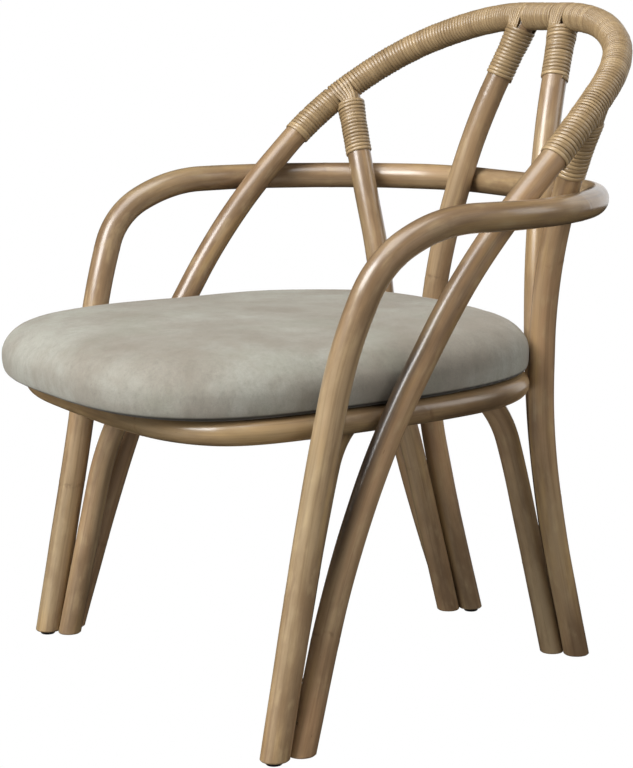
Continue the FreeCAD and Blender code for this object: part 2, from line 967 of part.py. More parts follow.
for part, half, top_length in spindles:
    for side, sign in (("right", 1), ("left", -1)):
        wire = wire_of([side_point(point, sign) for point in half])
        end = wire.Length - size(part + "_binding_start")
        start = end - size(part + "_binding_length")
        add_winding("binding_%s_%s" % (part, side), wire, start, end, "spindle")

arch_length = arch_wire.Length
binding_end_start = BINDING_END_LENGTH_SHARE * arch_length
binding_end_stop = outer_top_length - size("outer_joint_window")
long_start = outer_top_length + size("outer_joint_window")
long_stop = inner_top_length - size("inner_joint_window")
for side, backwards in (("right", False), ("left", True)):
    stretch = (binding_end_start, binding_end_stop)
    long_stretch = (long_start, long_stop)
    if backwards:
        stretch = (arch_length - binding_end_stop, arch_length - binding_end_start)
        long_stretch = (arch_length - long_stop, arch_length - long_start)
    add_winding("binding_arch_end_" + side, arch_wire, stretch[0], stretch[1], "arch")
    covered = part_of(arch_wire, long_stretch[0], long_stretch[1])
    inside = radius("arch") + size("cane_gap")
    sleeve = pipe(covered, inside + size("sleeve_thickness")).cut(pipe(covered, inside))
    piece = doc.addObject("Part::Feature", "binding_arch_long_" + side)
    piece.Shape = sleeve
    keep(piece, "binding_arch_long_" + side)
middle_start = inner_top_length + size("inner_joint_window")
add_winding("binding_arch_middle", arch_wire, middle_start, arch_length - middle_start, "arch")

# Glides under the feet, each with its moulded nail

glide_radius = size("glide_dia") / 2
nail_radius = size("nail_dia") / 2
nail_top = size("glide_height") + size("nail_length")
glide_profile = [
    (0, 0),
    (glide_radius - size("glide_edge"), 0),
    (glide_radius, size("glide_edge")),
    (glide_radius, size("glide_height")),
    (nail_radius, size("glide_height")),
    (nail_radius, nail_top - size("nail_dia")),
    (0, nail_top),
]
for row_name, foot in (("front", arm_half[0]), ("rear", inner_half[0])):
    for side, sign in (("right", 1), ("left", -1)):
        label = "glide_%s_%s" % (row_name, side)
        glide = turned_body(label + "_body", glide_profile)
        glide.Placement = Placement(side_point(foot, sign), Rotation())
        keep(glide, label)


# Screws and pegs


def group(label, shapes):
    """Identical fixings, written together."""
    piece = doc.addObject("Part::Feature", label)
    piece.Shape = Part.makeCompound(shapes)
    return keep(piece, label)


group("frame_screws", [placed(screw, place) for near, far, place in joints])
group("board_screws", [placed(board_screw, place) for name, place in board_screws])
group("spindle_pegs", [peg(spindle, 0) for spindle in peg_tops])

doc.recompute()
for item in nodes:
    if "Invalid" in item.State or "Error" in item.State:
        raise RuntimeError(item.Label + " failed: " + str(item.State))
    if item.Shape.isNull() or not item.Shape.isValid():
        raise RuntimeError(item.Label + " has no valid shape")

os.makedirs("parts", exist_ok=True)
for item in nodes:
    item.Shape.exportStep(os.path.join("parts", item.Label + ".step"))
    print(item.Label, len(item.Shape.Solids), round(item.Shape.Volume))
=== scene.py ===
"""Looks of the lounge chair: bent rattan poles, wound cane and a round suede seat pad.

Metres, +Z up, -Y to the front, +X to the right as seen from the front.
"""
import math

import bpy
import numpy as np
from mathutils import Matrix, Vector, noise


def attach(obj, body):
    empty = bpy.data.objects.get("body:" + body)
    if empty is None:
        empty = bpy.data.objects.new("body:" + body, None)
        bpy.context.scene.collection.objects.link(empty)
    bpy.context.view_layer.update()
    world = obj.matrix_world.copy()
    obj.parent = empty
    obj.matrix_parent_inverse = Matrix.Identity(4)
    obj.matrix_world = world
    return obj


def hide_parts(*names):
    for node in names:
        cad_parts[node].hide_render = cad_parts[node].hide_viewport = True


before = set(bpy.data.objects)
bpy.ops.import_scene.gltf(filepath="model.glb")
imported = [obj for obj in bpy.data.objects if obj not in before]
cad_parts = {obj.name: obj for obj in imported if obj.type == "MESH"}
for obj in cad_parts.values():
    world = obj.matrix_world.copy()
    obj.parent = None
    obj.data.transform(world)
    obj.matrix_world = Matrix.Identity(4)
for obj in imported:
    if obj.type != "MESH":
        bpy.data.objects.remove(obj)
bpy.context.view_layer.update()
rng = np.random.default_rng(23)

MM = 0.001

# Poles: radii, and the spans that the places of their bends are shares of

ARM_RADIUS = 16.0 * MM
ARCH_RADIUS = 15.0 * MM
SPINDLE_RADIUS = 15.0 * MM
RING_RADIUS = 14.0 * MM
SUPPORT_RADIUS = 14.0 * MM
ARM_HALF_SPAN = 316.0 * MM
ARCH_HALF_SPAN = 283.97 * MM
DEPTH = 516.0 * MM
ARM_HEIGHT = 563.0 * MM
ARCH_HEIGHT = 767.0 * MM
SEAT_HEIGHT = 350.0 * MM
SEAT_TILT = math.radians(1.1)
FOOT_HEIGHT = 4.4 * MM
BEND_SHARE = 0.47

ARM_SHARES = (
    (0.927, -0.331, 0.470),
    (0.960, -0.273, 0.757),
    (1.010, -0.204, 0.932),
    (1.000, -0.050, 1.000),
    (1.021, 0.176, 1.000),
    (0.829, 0.407, 1.000),
    (0.484, 0.571, 1.000),
)
ARCH_SHARES = (
    (1.000, -0.267, 0.233),
    (1.000, -0.149, 0.435),
    (1.000, 0.068, 0.672),
    (1.000, 0.326, 0.844),
    (0.830, 0.525, 0.944),
    (0.392, 0.638, 1.000),
)
OUTER_SHARES = (
    (0.486, 0.455, 0.308),
    (0.529, 0.400, 0.543),
    (0.570, 0.391, 0.806),
    (0.685, 0.385, 1.000),
)
INNER_SHARES = (
    (0.372, 0.507, 0.265),
    (0.393, 0.455, 0.525),
    (0.343, 0.466, 0.809),
    (0.240, 0.535, 1.117),
)
SUPPORT_SHARES = (
    (0.831, -0.292, 0.700),
    (0.732, -0.203, 0.995),
    (0.380, 0.266, 1.008),
    (0.375, 0.361, 0.869),
    (0.370, 0.401, 0.680),
)
ARM_FOOT = (296.5 * MM, -221.9 * MM, 0.0)
ARCH_FOOT = (296.5 * MM, -189.5 * MM, 0.0)
OUTER_FOOT = (138.5 * MM, 285.3 * MM, 0.0)
INNER_FOOT = (108.85 * MM, 295.6 * MM, 0.0)
SUPPORT_FRONT_FOOT = (270.3 * MM, -204.7 * MM, 0.0)
SUPPORT_REAR_FOOT = (115.2 * MM, 265.9 * MM, 0.0)
OUTER_TOP_SHARE = 0.353
INNER_TOP_OFFSET = 39.0 * MM

# Seat ring, pad and lining: half width, waist, front depth, rear depth and exponent of each outline

RING_SHAPE = (254.67 * MM, -135.0 * MM, 155.5 * MM, 333.0 * MM, 3.5)
RING_POINTS = 72
PAD_HALF_WIDTH = 268.4 * MM
PAD_WAIST = -127.5 * MM
PAD_FRONT = 219.5 * MM
PAD_REAR = 354.0 * MM
PAD_EXPONENT = 2.85
PAD_SHAPE = (PAD_HALF_WIDTH, PAD_WAIST, PAD_FRONT, PAD_REAR, PAD_EXPONENT)
BASE_WAIST = -131.0 * MM
BASE_SHAPE = (256.6 * MM, BASE_WAIST, 188.0 * MM, 343.0 * MM, 3.2)
PAD_FLOOR = 14.1 * MM
PAD_THICKNESS = 73.0 * MM
OUTLINE_STEPS = 6001

# Rows up the pad: share of the way from the base outline to the full one, or of the full outline,
# and share of the thickness

LOWER_SHARES = ((0.25, 0.0), (0.62, 0.024), (0.84, 0.084), (0.95, 0.185), (1.0, 0.333))
UPPER_SHARES = (
    (0.996, 0.500),
    (0.972, 0.645),
    (0.938, 0.748),
    (0.885, 0.822),
    (0.805, 0.880),
    (0.690, 0.927),
    (0.540, 0.962),
    (0.360, 0.987),
    (0.160, 1.000),
    (0.080, 1.000),
    (0.000, 1.000),
)


# Paths

PATH_STEP = 2.5 * MM
SMOOTH_SPAN = 9.0 * MM
SAME_POINT = 1e-7
BEND_POINTS = 25
LEAST_ACROSS = 0.3


def corners(foot, shares, span, height, top=None):
    points = [Vector(foot)]
    points += [Vector((x * span, y * DEPTH, z * height)) for x, y, z in shares]
    if top is not None:
        points.append(Vector(top))
    return points


def mirrored(points):
    return [Vector((-p.x, p.y, p.z)) for p in points]


def rounded(points, closed):
    """Dense points along straight runs joined by tangent arcs."""
    count = len(points)
    out = [] if closed else [points[0]]
    for i in range(count) if closed else range(1, count - 1):
        before, corner, after = points[i - 1], points[i], points[(i + 1) % count]
        tangent = BEND_SHARE * min((corner - before).length, (after - corner).length)
        arrive = (corner - before).normalized()
        leave = (after - corner).normalized()
        weight = math.cos(arrive.angle(leave) / 2)
        start, end = corner - arrive * tangent, corner + leave * tangent
        for part in np.linspace(0.0, 1.0, BEND_POINTS):
            first, middle, last = (1 - part) ** 2, 2 * weight * part * (1 - part), part**2
            point = start * first + corner * middle + end * last
            out.append(point / (first + middle + last))
    if not closed:
        out.append(points[-1])
    return np.array([tuple(p) for p in out])


def unit(vectors):
    return vectors / np.linalg.norm(vectors, axis=-1, keepdims=True)


def lengths_along(points):
    """Length of a line of points up to each of them."""
    return np.r_[0.0, np.cumsum(np.linalg.norm(np.diff(points, axis=0), axis=1))]


def interpolated(length, lengths, values):
    return np.stack([np.interp(length, lengths, values[:, k]) for k in range(3)], axis=-1)


def resampled(points, closed):
    """The same line in even steps, its length up to each point, and the whole length."""
    if closed:
        points = np.vstack([points, points[:1]])
    runs = np.linalg.norm(np.diff(points, axis=0), axis=1)
    points = points[np.r_[True, runs > SAME_POINT]]
    lengths = lengths_along(points)
    even = np.linspace(0.0, lengths[-1], int(lengths[-1] / PATH_STEP) + 1)
    if closed:
        even = even[:-1]
    return interpolated(even, lengths, points), even, lengths[-1]


def softened(line, closed):
    """The line with its changes of curvature eased, its ends kept."""
    reach = int(SMOOTH_SPAN / PATH_STEP)
    window = np.hanning(2 * reach + 3)[1:-1]
    window /= window.sum()
    if closed:
        padded = np.vstack([line[-reach:], line, line[:reach]])
    else:
        head = 2 * line[0] - line[reach:0:-1]
        tail = 2 * line[-1] - line[-2 : -reach - 2 : -1]
        padded = np.vstack([head, line, tail])
    return np.stack([np.convolve(padded[:, k], window, "valid") for k in range(3)], axis=-1)


class Path:
    """A pole's axis: points, lengths, directions and two steady cross directions."""

    def __init__(self, points, closed=False):
        line, self.lengths, self.length = resampled(rounded(points, closed), closed)
        self.points = softened(line, closed)
        self.closed = closed
        if closed:
            ahead = np.roll(self.points, -1, axis=0) - np.roll(self.points, 1, axis=0)
        else:
            ahead = np.gradient(self.points, axis=0)
        self.ways = unit(ahead)
        self.across = np.zeros_like(self.points)
        side = np.cross(self.ways[0], (0.0, 0.0, 1.0))
        if np.linalg.norm(side) < LEAST_ACROSS:
            side = np.cross(self.ways[0], (0.0, 1.0, 0.0))
        for i, way in enumerate(self.ways):
            side = unit(side - way * side.dot(way))
            self.across[i] = side
        self.other = np.cross(self.ways, self.across)

    def at(self, length):
        """Point, direction and cross directions at given lengths."""
        tracks = (self.points, self.ways, self.across, self.other)
        return [interpolated(length, self.lengths, values) for values in tracks]


# Meshes


def smoothed(mesh):
    mesh.polygons.foreach_set("use_smooth", [True] * len(mesh.polygons))
    mesh.update()


def mesh_object(name, verts, faces, **attributes):
    """Smooth mesh piece, with named values at its points."""
    mesh = bpy.data.meshes.new(name)
    mesh.from_pydata([tuple(v) for v in verts], [], [tuple(int(i) for i in f) for f in faces])
    for key, values in attributes.items():
        kind, field = ("FLOAT_VECTOR", "vector") if values.ndim == 2 else ("FLOAT", "value")
        layer = mesh.attributes.new(key, kind, "POINT")
        layer.data.foreach_set(field, values.astype(np.float32).ravel())
    smoothed(mesh)
    made = bpy.data.objects.new(name, mesh)
    bpy.context.scene.collection.objects.link(made)
    return made


def grid_faces(rows, columns, wrap_rows=False, wrap_columns=True):
    faces = []
    for row in range(rows if wrap_rows else rows - 1):
        here, above = row * columns, (row + 1) % rows * columns
        for column in range(columns if wrap_columns else columns - 1):
            beside = (column + 1) % columns
            faces.append((here + column, here + beside, above + beside, above + column))
    return faces


def finish_piece(piece, slot, material, *replaced):
    piece.data.materials.append(material)
    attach(piece, "root")
    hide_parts(*replaced)


POLE_SIDES = 40
GIRTH_WOBBLE = 0.12 * MM
WOBBLE_WAVES = (410.0 * MM, 170.0 * MM, 93.0 * MM)
NODE_SPACING = 310.0 * MM
NODE_FIRST_SHARES = (0.25, 0.8)
NODE_STEP_SHARES = (0.75, 1.3)
NODE_LAST_SHARE = 0.2
NODE_SLANT_SHARES = (0.2, 0.5)
NODE_SWELL = 0.22 * MM
NODE_SPAN = 5.0 * MM
GROOVE_SHARE = 1.2
GROOVE_OFFSET = 2.2 * MM
GROOVE_SPAN = 1.6 * MM
SCAR_SPAN = 2.2 * MM
SCAR_TURN = 0.6
SCAR_EDGE = 0.8
SCAR_LEVEL = 0.35
TUCK = 1.6 * MM
TUCK_SPAN = 30.0 * MM
FOOT_BLEND = 42.0 * MM
CUT_EDGE = 1.4 * MM
CUT_RING_SHARES = (0.55, 0.2)
GRAIN_SHIFT = 3.7

# Painted shade: darker stretches that stand in for shade and cast shadows on the poles, each a pair
# from the two ends: place and reach as shares of the length, and the depth of each

ARM_SHADE_SHARES = ((0.29, 0.09, 0.32, 0.32),)
ARCH_SHADE_SHARES = ((0.148, 0.075, 1.30, 0.35), (0.29, 0.05, 0.25, 0.25))
SPINDLE_SHADE_SHARES = ((0.0, 0.18, 0.31, 0.31),)
SUPPORT_SHADE_SHARES = ((0.0, 0.12, 0.24, 0.24),)
# painted shadows that the legs beside the seat ring cast on its right side
RING_SHADE_SHARES = ((0.0, 0.045, 0.34, 0.34), (0.12, 0.06, 0.62, 0.62))
ARCH_SHADOW_SIDE_SHARE = 0.92
SHADOW_SIDE_WAY = (0.45, -0.80, 0.40)
SHADOW_SIDE_EDGE = 1.5


def pole_nodes(draw, path, radius, angles):
    """Height and scar of the faint nodes along a pole, by length and by angle."""
    ripple = np.zeros((len(path.lengths), POLE_SIDES))
    scar = np.zeros_like(ripple)
    place = draw.uniform(*NODE_FIRST_SHARES) * NODE_SPACING
    while place < path.length - NODE_SPACING * NODE_LAST_SHARE:
        slant = draw.uniform(*NODE_SLANT_SHARES) * radius
        turn = draw.uniform(0, 2 * math.pi)
        offset = path.lengths[:, None] - place - slant * np.cos(angles - turn)
        groove = offset - GROOVE_OFFSET
        ripple += NODE_SWELL * np.exp(-((offset / NODE_SPAN) ** 2))
        ripple -= NODE_SWELL * GROOVE_SHARE * np.exp(-((groove / GROOVE_SPAN) ** 2))
        spread = np.cos(angles - turn + SCAR_TURN) * SCAR_EDGE + SCAR_LEVEL
        scar += np.exp(-((groove / SCAR_SPAN) ** 2)) * np.clip(spread, 0.0, 1.0)
        place += NODE_SPACING * draw.uniform(*NODE_STEP_SHARES)
    return ripple, scar


def cut_ends(verts, local, faces, last_row, radius):
    """Points and grain places of the rings that close both ends. Their faces join the list."""
    points, places = [], []
    for row in (0, last_row):
        first = row * POLE_SIDES
        rim, rim_local = verts[first : first + POLE_SIDES], local[first : first + POLE_SIDES]
        centre = rim.mean(axis=0)
        outer = list(range(first, first + POLE_SIDES))
        for share in (1 - CUT_EDGE / radius, *CUT_RING_SHARES):
            start = len(verts) + len(points)
            points += list(centre + (rim - centre) * share)
            places += list(rim_local * np.array((share, share, 1.0)))
            inner = list(range(start, start + POLE_SIDES))
            for side in range(POLE_SIDES):
                beside = (side + 1) % POLE_SIDES
                face = (outer[side], outer[beside], inner[beside], inner[side])
                faces.append(face if row else face[::-1])
            outer = inner
        faces.append(tuple(outer) if row else tuple(outer[::-1]))
    return np.array(points), np.array(places)


def pole(name, node, path, radius, material, seed, tone, stains, shadow_side_share=0.0, tuck=0.0, feet=(True, True)):
    """Rattan pole along a path: slow changes of girth, faint nodes, feet cut level.

    The shadow side share is the share of its painted shade that lies only on the side turned to the
    front and the middle, standing in for the shadow that a pole in front casts. The tuck is how much
    the pole thins towards its last end.
    """
    draw = np.random.default_rng(100 + seed)
    angles = np.linspace(0.0, 2 * math.pi, POLE_SIDES, endpoint=False)
    lengths = path.lengths
    girth = np.full(len(lengths), radius)
    for wave, phase in zip(WOBBLE_WAVES, draw.uniform(0, 2 * math.pi, 3)):
        girth += GIRTH_WOBBLE / 2 * np.sin(2 * math.pi * lengths / wave + phase)
    girth -= tuck * np.clip(1 - np.abs(lengths - lengths[-1]) / TUCK_SPAN, 0.0, 1.0)
    ripple, scar = pole_nodes(draw, path, radius, angles)
    rings = girth[:, None] + ripple
    around = np.cos(angles)[:, None] * path.across[:, None, :]
    around = around + np.sin(angles)[:, None] * path.other[:, None, :]
    verts = path.points[:, None, :] + rings[..., None] * around
    # painted shade: darker stretches standing in for the shade and the cast shadows that fall along the
    # pole
    stain = np.zeros(len(lengths))
    for place, reach, *depths in stains:
        for side, depth in zip((place, 1 - place), depths):
            stain += depth * np.exp(-(((lengths / path.length - side) / reach) ** 2))
    # painted shadow: on the arch legs most of it lies on the side that the arm legs in front of them
    # shade
    shadow_side_ways = np.tile(SHADOW_SIDE_WAY, (len(lengths), 1))
    shadow_side_ways[:, 0] *= -np.sign(path.points[:, 0])
    facing = np.clip((around * shadow_side_ways[:, None, :]).sum(axis=-1) * SHADOW_SIDE_EDGE, 0.0, 1.0)
    stained = np.minimum(stain, 1.0)[:, None] * (1 - shadow_side_share + shadow_side_share * facing)
    along = np.repeat(lengths[:, None], POLE_SIDES, axis=1)
    local = np.stack([rings * np.cos(angles), rings * np.sin(angles), along], axis=-1)
    for end, level in zip((0, -1), feet):
        if not level:
            continue
        near = np.abs(lengths - lengths[end])
        rows = np.nonzero(near < FOOT_BLEND)[0]
        blend = (1 - near[rows] / FOOT_BLEND)[:, None, None]
        ways = path.ways[rows][:, None, :]
        lift = verts[rows, :, 2:3] - path.points[rows][:, None, 2:3]
        verts[rows] += ways * (FOOT_HEIGHT - lift) / ways[:, :, 2:3] * blend
    verts, local = verts.reshape(-1, 3), local.reshape(-1, 3)
    faces = grid_faces(len(lengths), POLE_SIDES, wrap_rows=path.closed)
    if not path.closed:
        points, places = cut_ends(verts, local, faces, len(lengths) - 1, radius)
        # the rim of each end is rounded off by drawing the outermost ring in along the pole
        verts[:POLE_SIDES] += path.ways[0] * CUT_EDGE
        verts[-POLE_SIDES:] -= path.ways[-1] * CUT_EDGE
        verts, local = np.vstack([verts, points]), np.vstack([local, places])
    added = np.zeros(len(verts) - scar.size)
    made = mesh_object(
        name,
        verts,
        faces,
        pole=local + np.array((0.0, 0.0, seed * GRAIN_SHIFT)),
        scar=np.r_[scar.ravel(), added],
        stain=np.r_[stained.ravel(), added],
        end_grain=np.r_[np.zeros(scar.size), added + 1],
        tone=np.full(len(verts), tone),
    )
    finish_piece(made, "rattan_pole", material, node)


# Materials


def srgb(red, green, blue):
    """Linear colour from screen values of 0 to 255."""
    out = []
    for value in (red, green, blue):
        level = value / 255
        out.append(level / 12.92 if level <= 0.04045 else ((level + 0.055) / 1.055) ** 2.4)
    return (*out, 1.0)


class Nodes:
    """Short way to build the nodes of a material or a world."""

    def __init__(self, owner):
        owner.use_nodes = True
        self.owner = owner
        self.tree = owner.node_tree

    def feed(self, socket, value):
        if hasattr(value, "is_output"):
            self.tree.links.new(value, socket)
        else:
            socket.default_value = value

    def node(self, kind, output, inputs=None, **settings):
        """One output of a new node with these settings and inputs."""
        made = self.tree.nodes.new(kind)
        for key, value in settings.items():
            setattr(made, key, value)
        for key, value in (inputs or {}).items():
            self.feed(made.inputs[key], value)
        return made.outputs[output]

    def attribute(self, name, output="Vector"):
        return self.node("ShaderNodeAttribute", output, attribute_name=name)

    def position(self):
        return self.node("ShaderNodeTexCoord", "Object")

    def scaled(self, vector, scale, offset=(0.0, 0.0, 0.0)):
        inputs = {"Vector": vector, "Scale": scale, "Location": offset}
        return self.node("ShaderNodeMapping", "Vector", inputs)

    def noise(self, at, scale, offset=(0.0, 0.0, 0.0), detail=3.0, roughness=0.5, distortion=0.0):
        inputs = {"Vector": self.scaled(at, scale, offset), "Scale": 1.0, "Detail": detail}
        inputs |= {"Roughness": roughness, "Distortion": distortion}
        return self.node("ShaderNodeTexNoise", "Fac", inputs)

    def ramp(self, value, low, high, to_low=0.0, to_high=1.0, curve="SMOOTHSTEP"):
        inputs = {"Value": value, "From Min": low, "From Max": high}
        inputs |= {"To Min": to_low, "To Max": to_high}
        return self.node("ShaderNodeMapRange", "Result", inputs, interpolation_type=curve)

    def math(self, operation, first, second):
        return self.node("ShaderNodeMath", 0, {0: first, 1: second}, operation=operation)

    def mix(self, share, first, second):
        inputs = {"Factor": share, 6: first, 7: second}
        return self.node("ShaderNodeMix", 2, inputs, data_type="RGBA")

    def layered(self, colour, *layers):
        """Colour under others: each shows up to an amount as its value goes from low to high."""
        for value, low, high, amount, shade in layers:
            colour = self.mix(self.ramp(value, low, high, 0.0, amount), colour, srgb(*shade))
        return colour

    def bump(self, height, strength, distance, **below):
        inputs = {"Height": height, "Strength": strength, "Distance": distance} | below
        return self.node("ShaderNodeBump", "Normal", inputs)

    def finish(self, **values):
        """The material, with these inputs of its surface."""
        shader = self.tree.nodes["Principled BSDF"]
        for key, value in values.items():
            self.feed(shader.inputs[key.replace("_", " ")], value)
        return self.owner


def material_nodes(name):
    return Nodes(bpy.data.materials.new(name))


def rattan_material(name, olive, brown):
    nodes = material_nodes(name)
    at = nodes.attribute("pole")
    blotch = nodes.noise(at, (24.0, 24.0, 6.0), detail=5.0, roughness=0.62)
    tint = nodes.noise(at, (15.0, 15.0, 2.6), (3.0, 7.0, 1.0), detail=4.0)
    fibre = nodes.noise(at, (620.0, 620.0, 14.0), detail=5.0, roughness=0.62)
    streak = nodes.noise(at, (150.0, 150.0, 3.6), detail=4.0, roughness=0.6)
    mottle = nodes.noise(at, (95.0, 95.0, 38.0), (1.0, 4.0, 2.0), detail=4.0)
    gold = nodes.noise(at, (34.0, 34.0, 4.4), (8.0, 1.0, 6.0), detail=4.0, roughness=0.6)
    fleck = nodes.noise(at, (300.0, 300.0, 70.0), (5.0, 2.0, 9.0), detail=2.0)
    pores = nodes.noise(at, (900.0, 900.0, 1.0), detail=2.0)
    drift = nodes.math("ADD", nodes.attribute("tone", "Fac"), nodes.ramp(tint, 0.32, 0.68, -0.45, 0.45))
    drift = nodes.math("MINIMUM", nodes.math("MAXIMUM", drift, 0.0), 1.0)
    colour = nodes.layered(
        nodes.mix(drift, olive, brown),
        (blotch, 0.40, 0.66, 0.80, (126, 100, 72)),
        (gold, 0.52, 0.70, 0.55, (184, 152, 100)),
        (mottle, 0.50, 0.74, 0.38, (188, 164, 122)),
        (streak, 0.46, 0.74, 0.46, (104, 80, 56)),
        (fibre, 0.40, 0.78, 0.20, (98, 74, 50)),
        (fleck, 0.74, 0.80, 0.45, (88, 64, 42)),
    )
    # painted shade: the pole darkens where its painted shade is high, patchy with the blotches,
    # standing in for shade and cast shadows
    shade_patchiness = nodes.ramp(blotch, 0.25, 0.55, 0.8, 1.0)
    stained = nodes.math("MULTIPLY", nodes.attribute("stain", "Fac"), shade_patchiness)
    colour = nodes.mix(stained, colour, srgb(44, 33, 24))
    broken = nodes.ramp(nodes.noise(at, (140.0, 140.0, 140.0)), 0.40, 0.62)
    scarred = nodes.math("MULTIPLY", nodes.attribute("scar", "Fac"), broken)
    colour = nodes.mix(nodes.math("MULTIPLY", scarred, 0.55), colour, srgb(92, 66, 42))
    end = nodes.attribute("end_grain", "Fac")
    cut = nodes.mix(nodes.ramp(pores, 0.45, 0.62), srgb(150, 122, 88), srgb(84, 62, 40))
    rough = nodes.ramp(mottle, 0.3, 0.8, 0.34, 0.50)
    rough = nodes.math("ADD", rough, nodes.math("MULTIPLY", end, 0.35))
    return nodes.finish(
        Base_Color=nodes.mix(end, colour, cut),
        Roughness=rough,
        Normal=nodes.bump(blotch, 0.08, 2.0 * MM, Normal=nodes.bump(fibre, 0.12, 0.4 * MM)),
        Coat_Weight=1.0,
        Coat_Roughness=0.24,
    )


def cane_material():
    nodes = material_nodes("cane")
    at = nodes.attribute("cane")
    fibre = nodes.noise(at, (1500.0, 1500.0, 30.0), detail=4.0, roughness=0.6)
    blotch = nodes.noise(at, (60.0, 60.0, 9.0))
    turn = nodes.ramp(nodes.attribute("turn", "Fac"), 0.0, 1.0)
    colour = nodes.layered(
        nodes.mix(turn, srgb(144, 121, 88), srgb(174, 149, 111)),
        (blotch, 0.40, 0.70, 0.6, (126, 102, 70)),
        (fibre, 0.35, 0.75, 0.30, (116, 92, 60)),
        # painted shade: the edges of each strip are darker, standing in for the shade in the grooves
        # between turns
        (nodes.attribute("strip_edge_shade", "Fac"), 0.84, 1.0, 0.5, (92, 72, 48)),
    )
    return nodes.finish(
        Base_Color=colour,
        Roughness=nodes.ramp(blotch, 0.3, 0.8, 0.36, 0.50),
        Normal=nodes.bump(fibre, 0.2, 0.3 * MM),
        Coat_Weight=0.6,
        Coat_Roughness=0.26,
    )


# heights above the pad's floor of the painted shadow gap at its bottom
GAP_SHADE_LOW = 3.6 * MM
GAP_SHADE_HIGH = 6.4 * MM


def suede_material():
    nodes = material_nodes("suede")
    at = nodes.position()
    cloud = nodes.noise(at, (4.6, 4.6, 7.0), detail=5.0, roughness=0.56, distortion=0.5)
    patch = nodes.noise(at, (17.0, 17.0, 15.0), (2.0, 5.0, 1.0), detail=5.0, roughness=0.6)
    moss = nodes.noise(at, (11.0, 11.0, 19.0), (7.0, 1.0, 3.0), detail=4.0, roughness=0.6)
    brush = nodes.noise(at, (70.0, 70.0, 40.0), detail=5.0, roughness=0.7)
    nap = nodes.noise(at, (230.0, 230.0, 150.0), detail=4.0, roughness=0.65)
    hair = nodes.noise(at, (1500.0, 1500.0, 1100.0), detail=2.0, roughness=0.6)
    colour = nodes.layered(
        nodes.mix(nodes.ramp(cloud, 0.36, 0.62), srgb(154, 153, 143), srgb(136, 130, 119)),
        (patch, 0.40, 0.66, 0.48, (124, 115, 103)),
        (moss, 0.48, 0.70, 0.35, (133, 135, 120)),
        (brush, 0.42, 0.72, 0.30, (112, 107, 97)),
        (nap, 0.42, 0.70, 0.16, (104, 101, 93)),
        (hair, 0.38, 0.72, 0.34, (86, 83, 76)),
    )
    # painted shadow: the lowest few millimetres of the pad are darkened, standing in for the shadow gap
    # between the pad and the seat ring
    upwards = (0.0, -math.sin(SEAT_TILT), math.cos(SEAT_TILT))
    lift = nodes.node("ShaderNodeVectorMath", "Value", {0: at, 1: upwards}, operation="DOT_PRODUCT")
    floor = SEAT_HEIGHT * math.cos(SEAT_TILT) + PAD_FLOOR
    gap_shade = nodes.ramp(lift, floor + GAP_SHADE_LOW, floor + GAP_SHADE_HIGH, 0.92, 0.0)
    return nodes.finish(
        Base_Color=nodes.mix(gap_shade, colour, srgb(28, 24, 20)),
        Roughness=0.93,
        Normal=nodes.bump(nap, 0.12, 1.2 * MM, Normal=nodes.bump(hair, 0.35, 0.6 * MM)),
        Sheen_Weight=0.32,
        Sheen_Roughness=0.42,
        Sheen_Tint=srgb(220, 216, 206),
        Specular_IOR_Level=0.15,
    )


def lining_material():
    nodes = material_nodes("lining")
    at = nodes.position()
    threads = []
    for way in ("X", "Y"):
        inputs = {"Vector": nodes.scaled(at, (520.0, 520.0, 520.0))}
        kind = {"wave_type": "BANDS", "bands_direction": way}
        threads.append(nodes.node("ShaderNodeTexWave", "Fac", inputs, **kind))
    cloth = nodes.math("MULTIPLY", *threads)
    fuzz = nodes.noise(at, (60.0, 60.0, 60.0), detail=4.0)
    colour = nodes.mix(fuzz, srgb(34, 33, 32), srgb(52, 50, 48))
    colour = nodes.layered(colour, (cloth, 0.1, 0.8, 0.4, (20, 20, 20)))
    return nodes.finish(Base_Color=colour, Roughness=0.9, Normal=nodes.bump(cloth, 0.4, 0.3 * MM))


def glide_material():
    nodes = material_nodes("glide_plastic")
    at = nodes.position()
    speck = nodes.noise(at, (700.0, 700.0, 700.0))
    wear = nodes.noise(at, (160.0, 160.0, 60.0), detail=4.0)
    colour = nodes.mix(nodes.ramp(wear, 0.45, 0.7), srgb(30, 29, 28), srgb(54, 52, 49))
    rough = nodes.ramp(wear, 0.3, 0.7, 0.42, 0.62)
    return nodes.finish(Base_Color=colour, Roughness=rough, Normal=nodes.bump(speck, 0.12, 0.3 * MM))


def screw_material():
    nodes = material_nodes("screw_steel")
    at = nodes.position()
    scratch = nodes.noise(at, (900.0, 900.0, 2200.0))
    stain = nodes.noise(at, (240.0, 240.0, 240.0))
    return nodes.finish(
        Base_Color=nodes.mix(nodes.ramp(stain, 0.4, 0.7), srgb(150, 138, 112), srgb(104, 92, 72)),
        Roughness=nodes.ramp(scratch, 0.3, 0.7, 0.28, 0.5),
        Normal=nodes.bump(scratch, 0.1, 0.2 * MM),
        Metallic=1.0,
    )


def plain_wood_material(name, pale, dark):
    nodes = material_nodes(name)
    grain = nodes.noise(nodes.position(), (160.0, 12.0, 160.0), detail=5.0, roughness=0.65)
    colour = nodes.mix(nodes.ramp(grain, 0.35, 0.7), pale, dark)
    return nodes.finish(Base_Color=colour, Roughness=0.7, Normal=nodes.bump(grain, 0.2, 0.5 * MM))


rattan = rattan_material("rattan", srgb(165, 143, 109), srgb(168, 134, 98))
pale_rattan = rattan_material("rattan_pale", srgb(184, 158, 114), srgb(184, 148, 104))
cane = cane_material()
suede = suede_material()
lining = lining_material()

# Poles

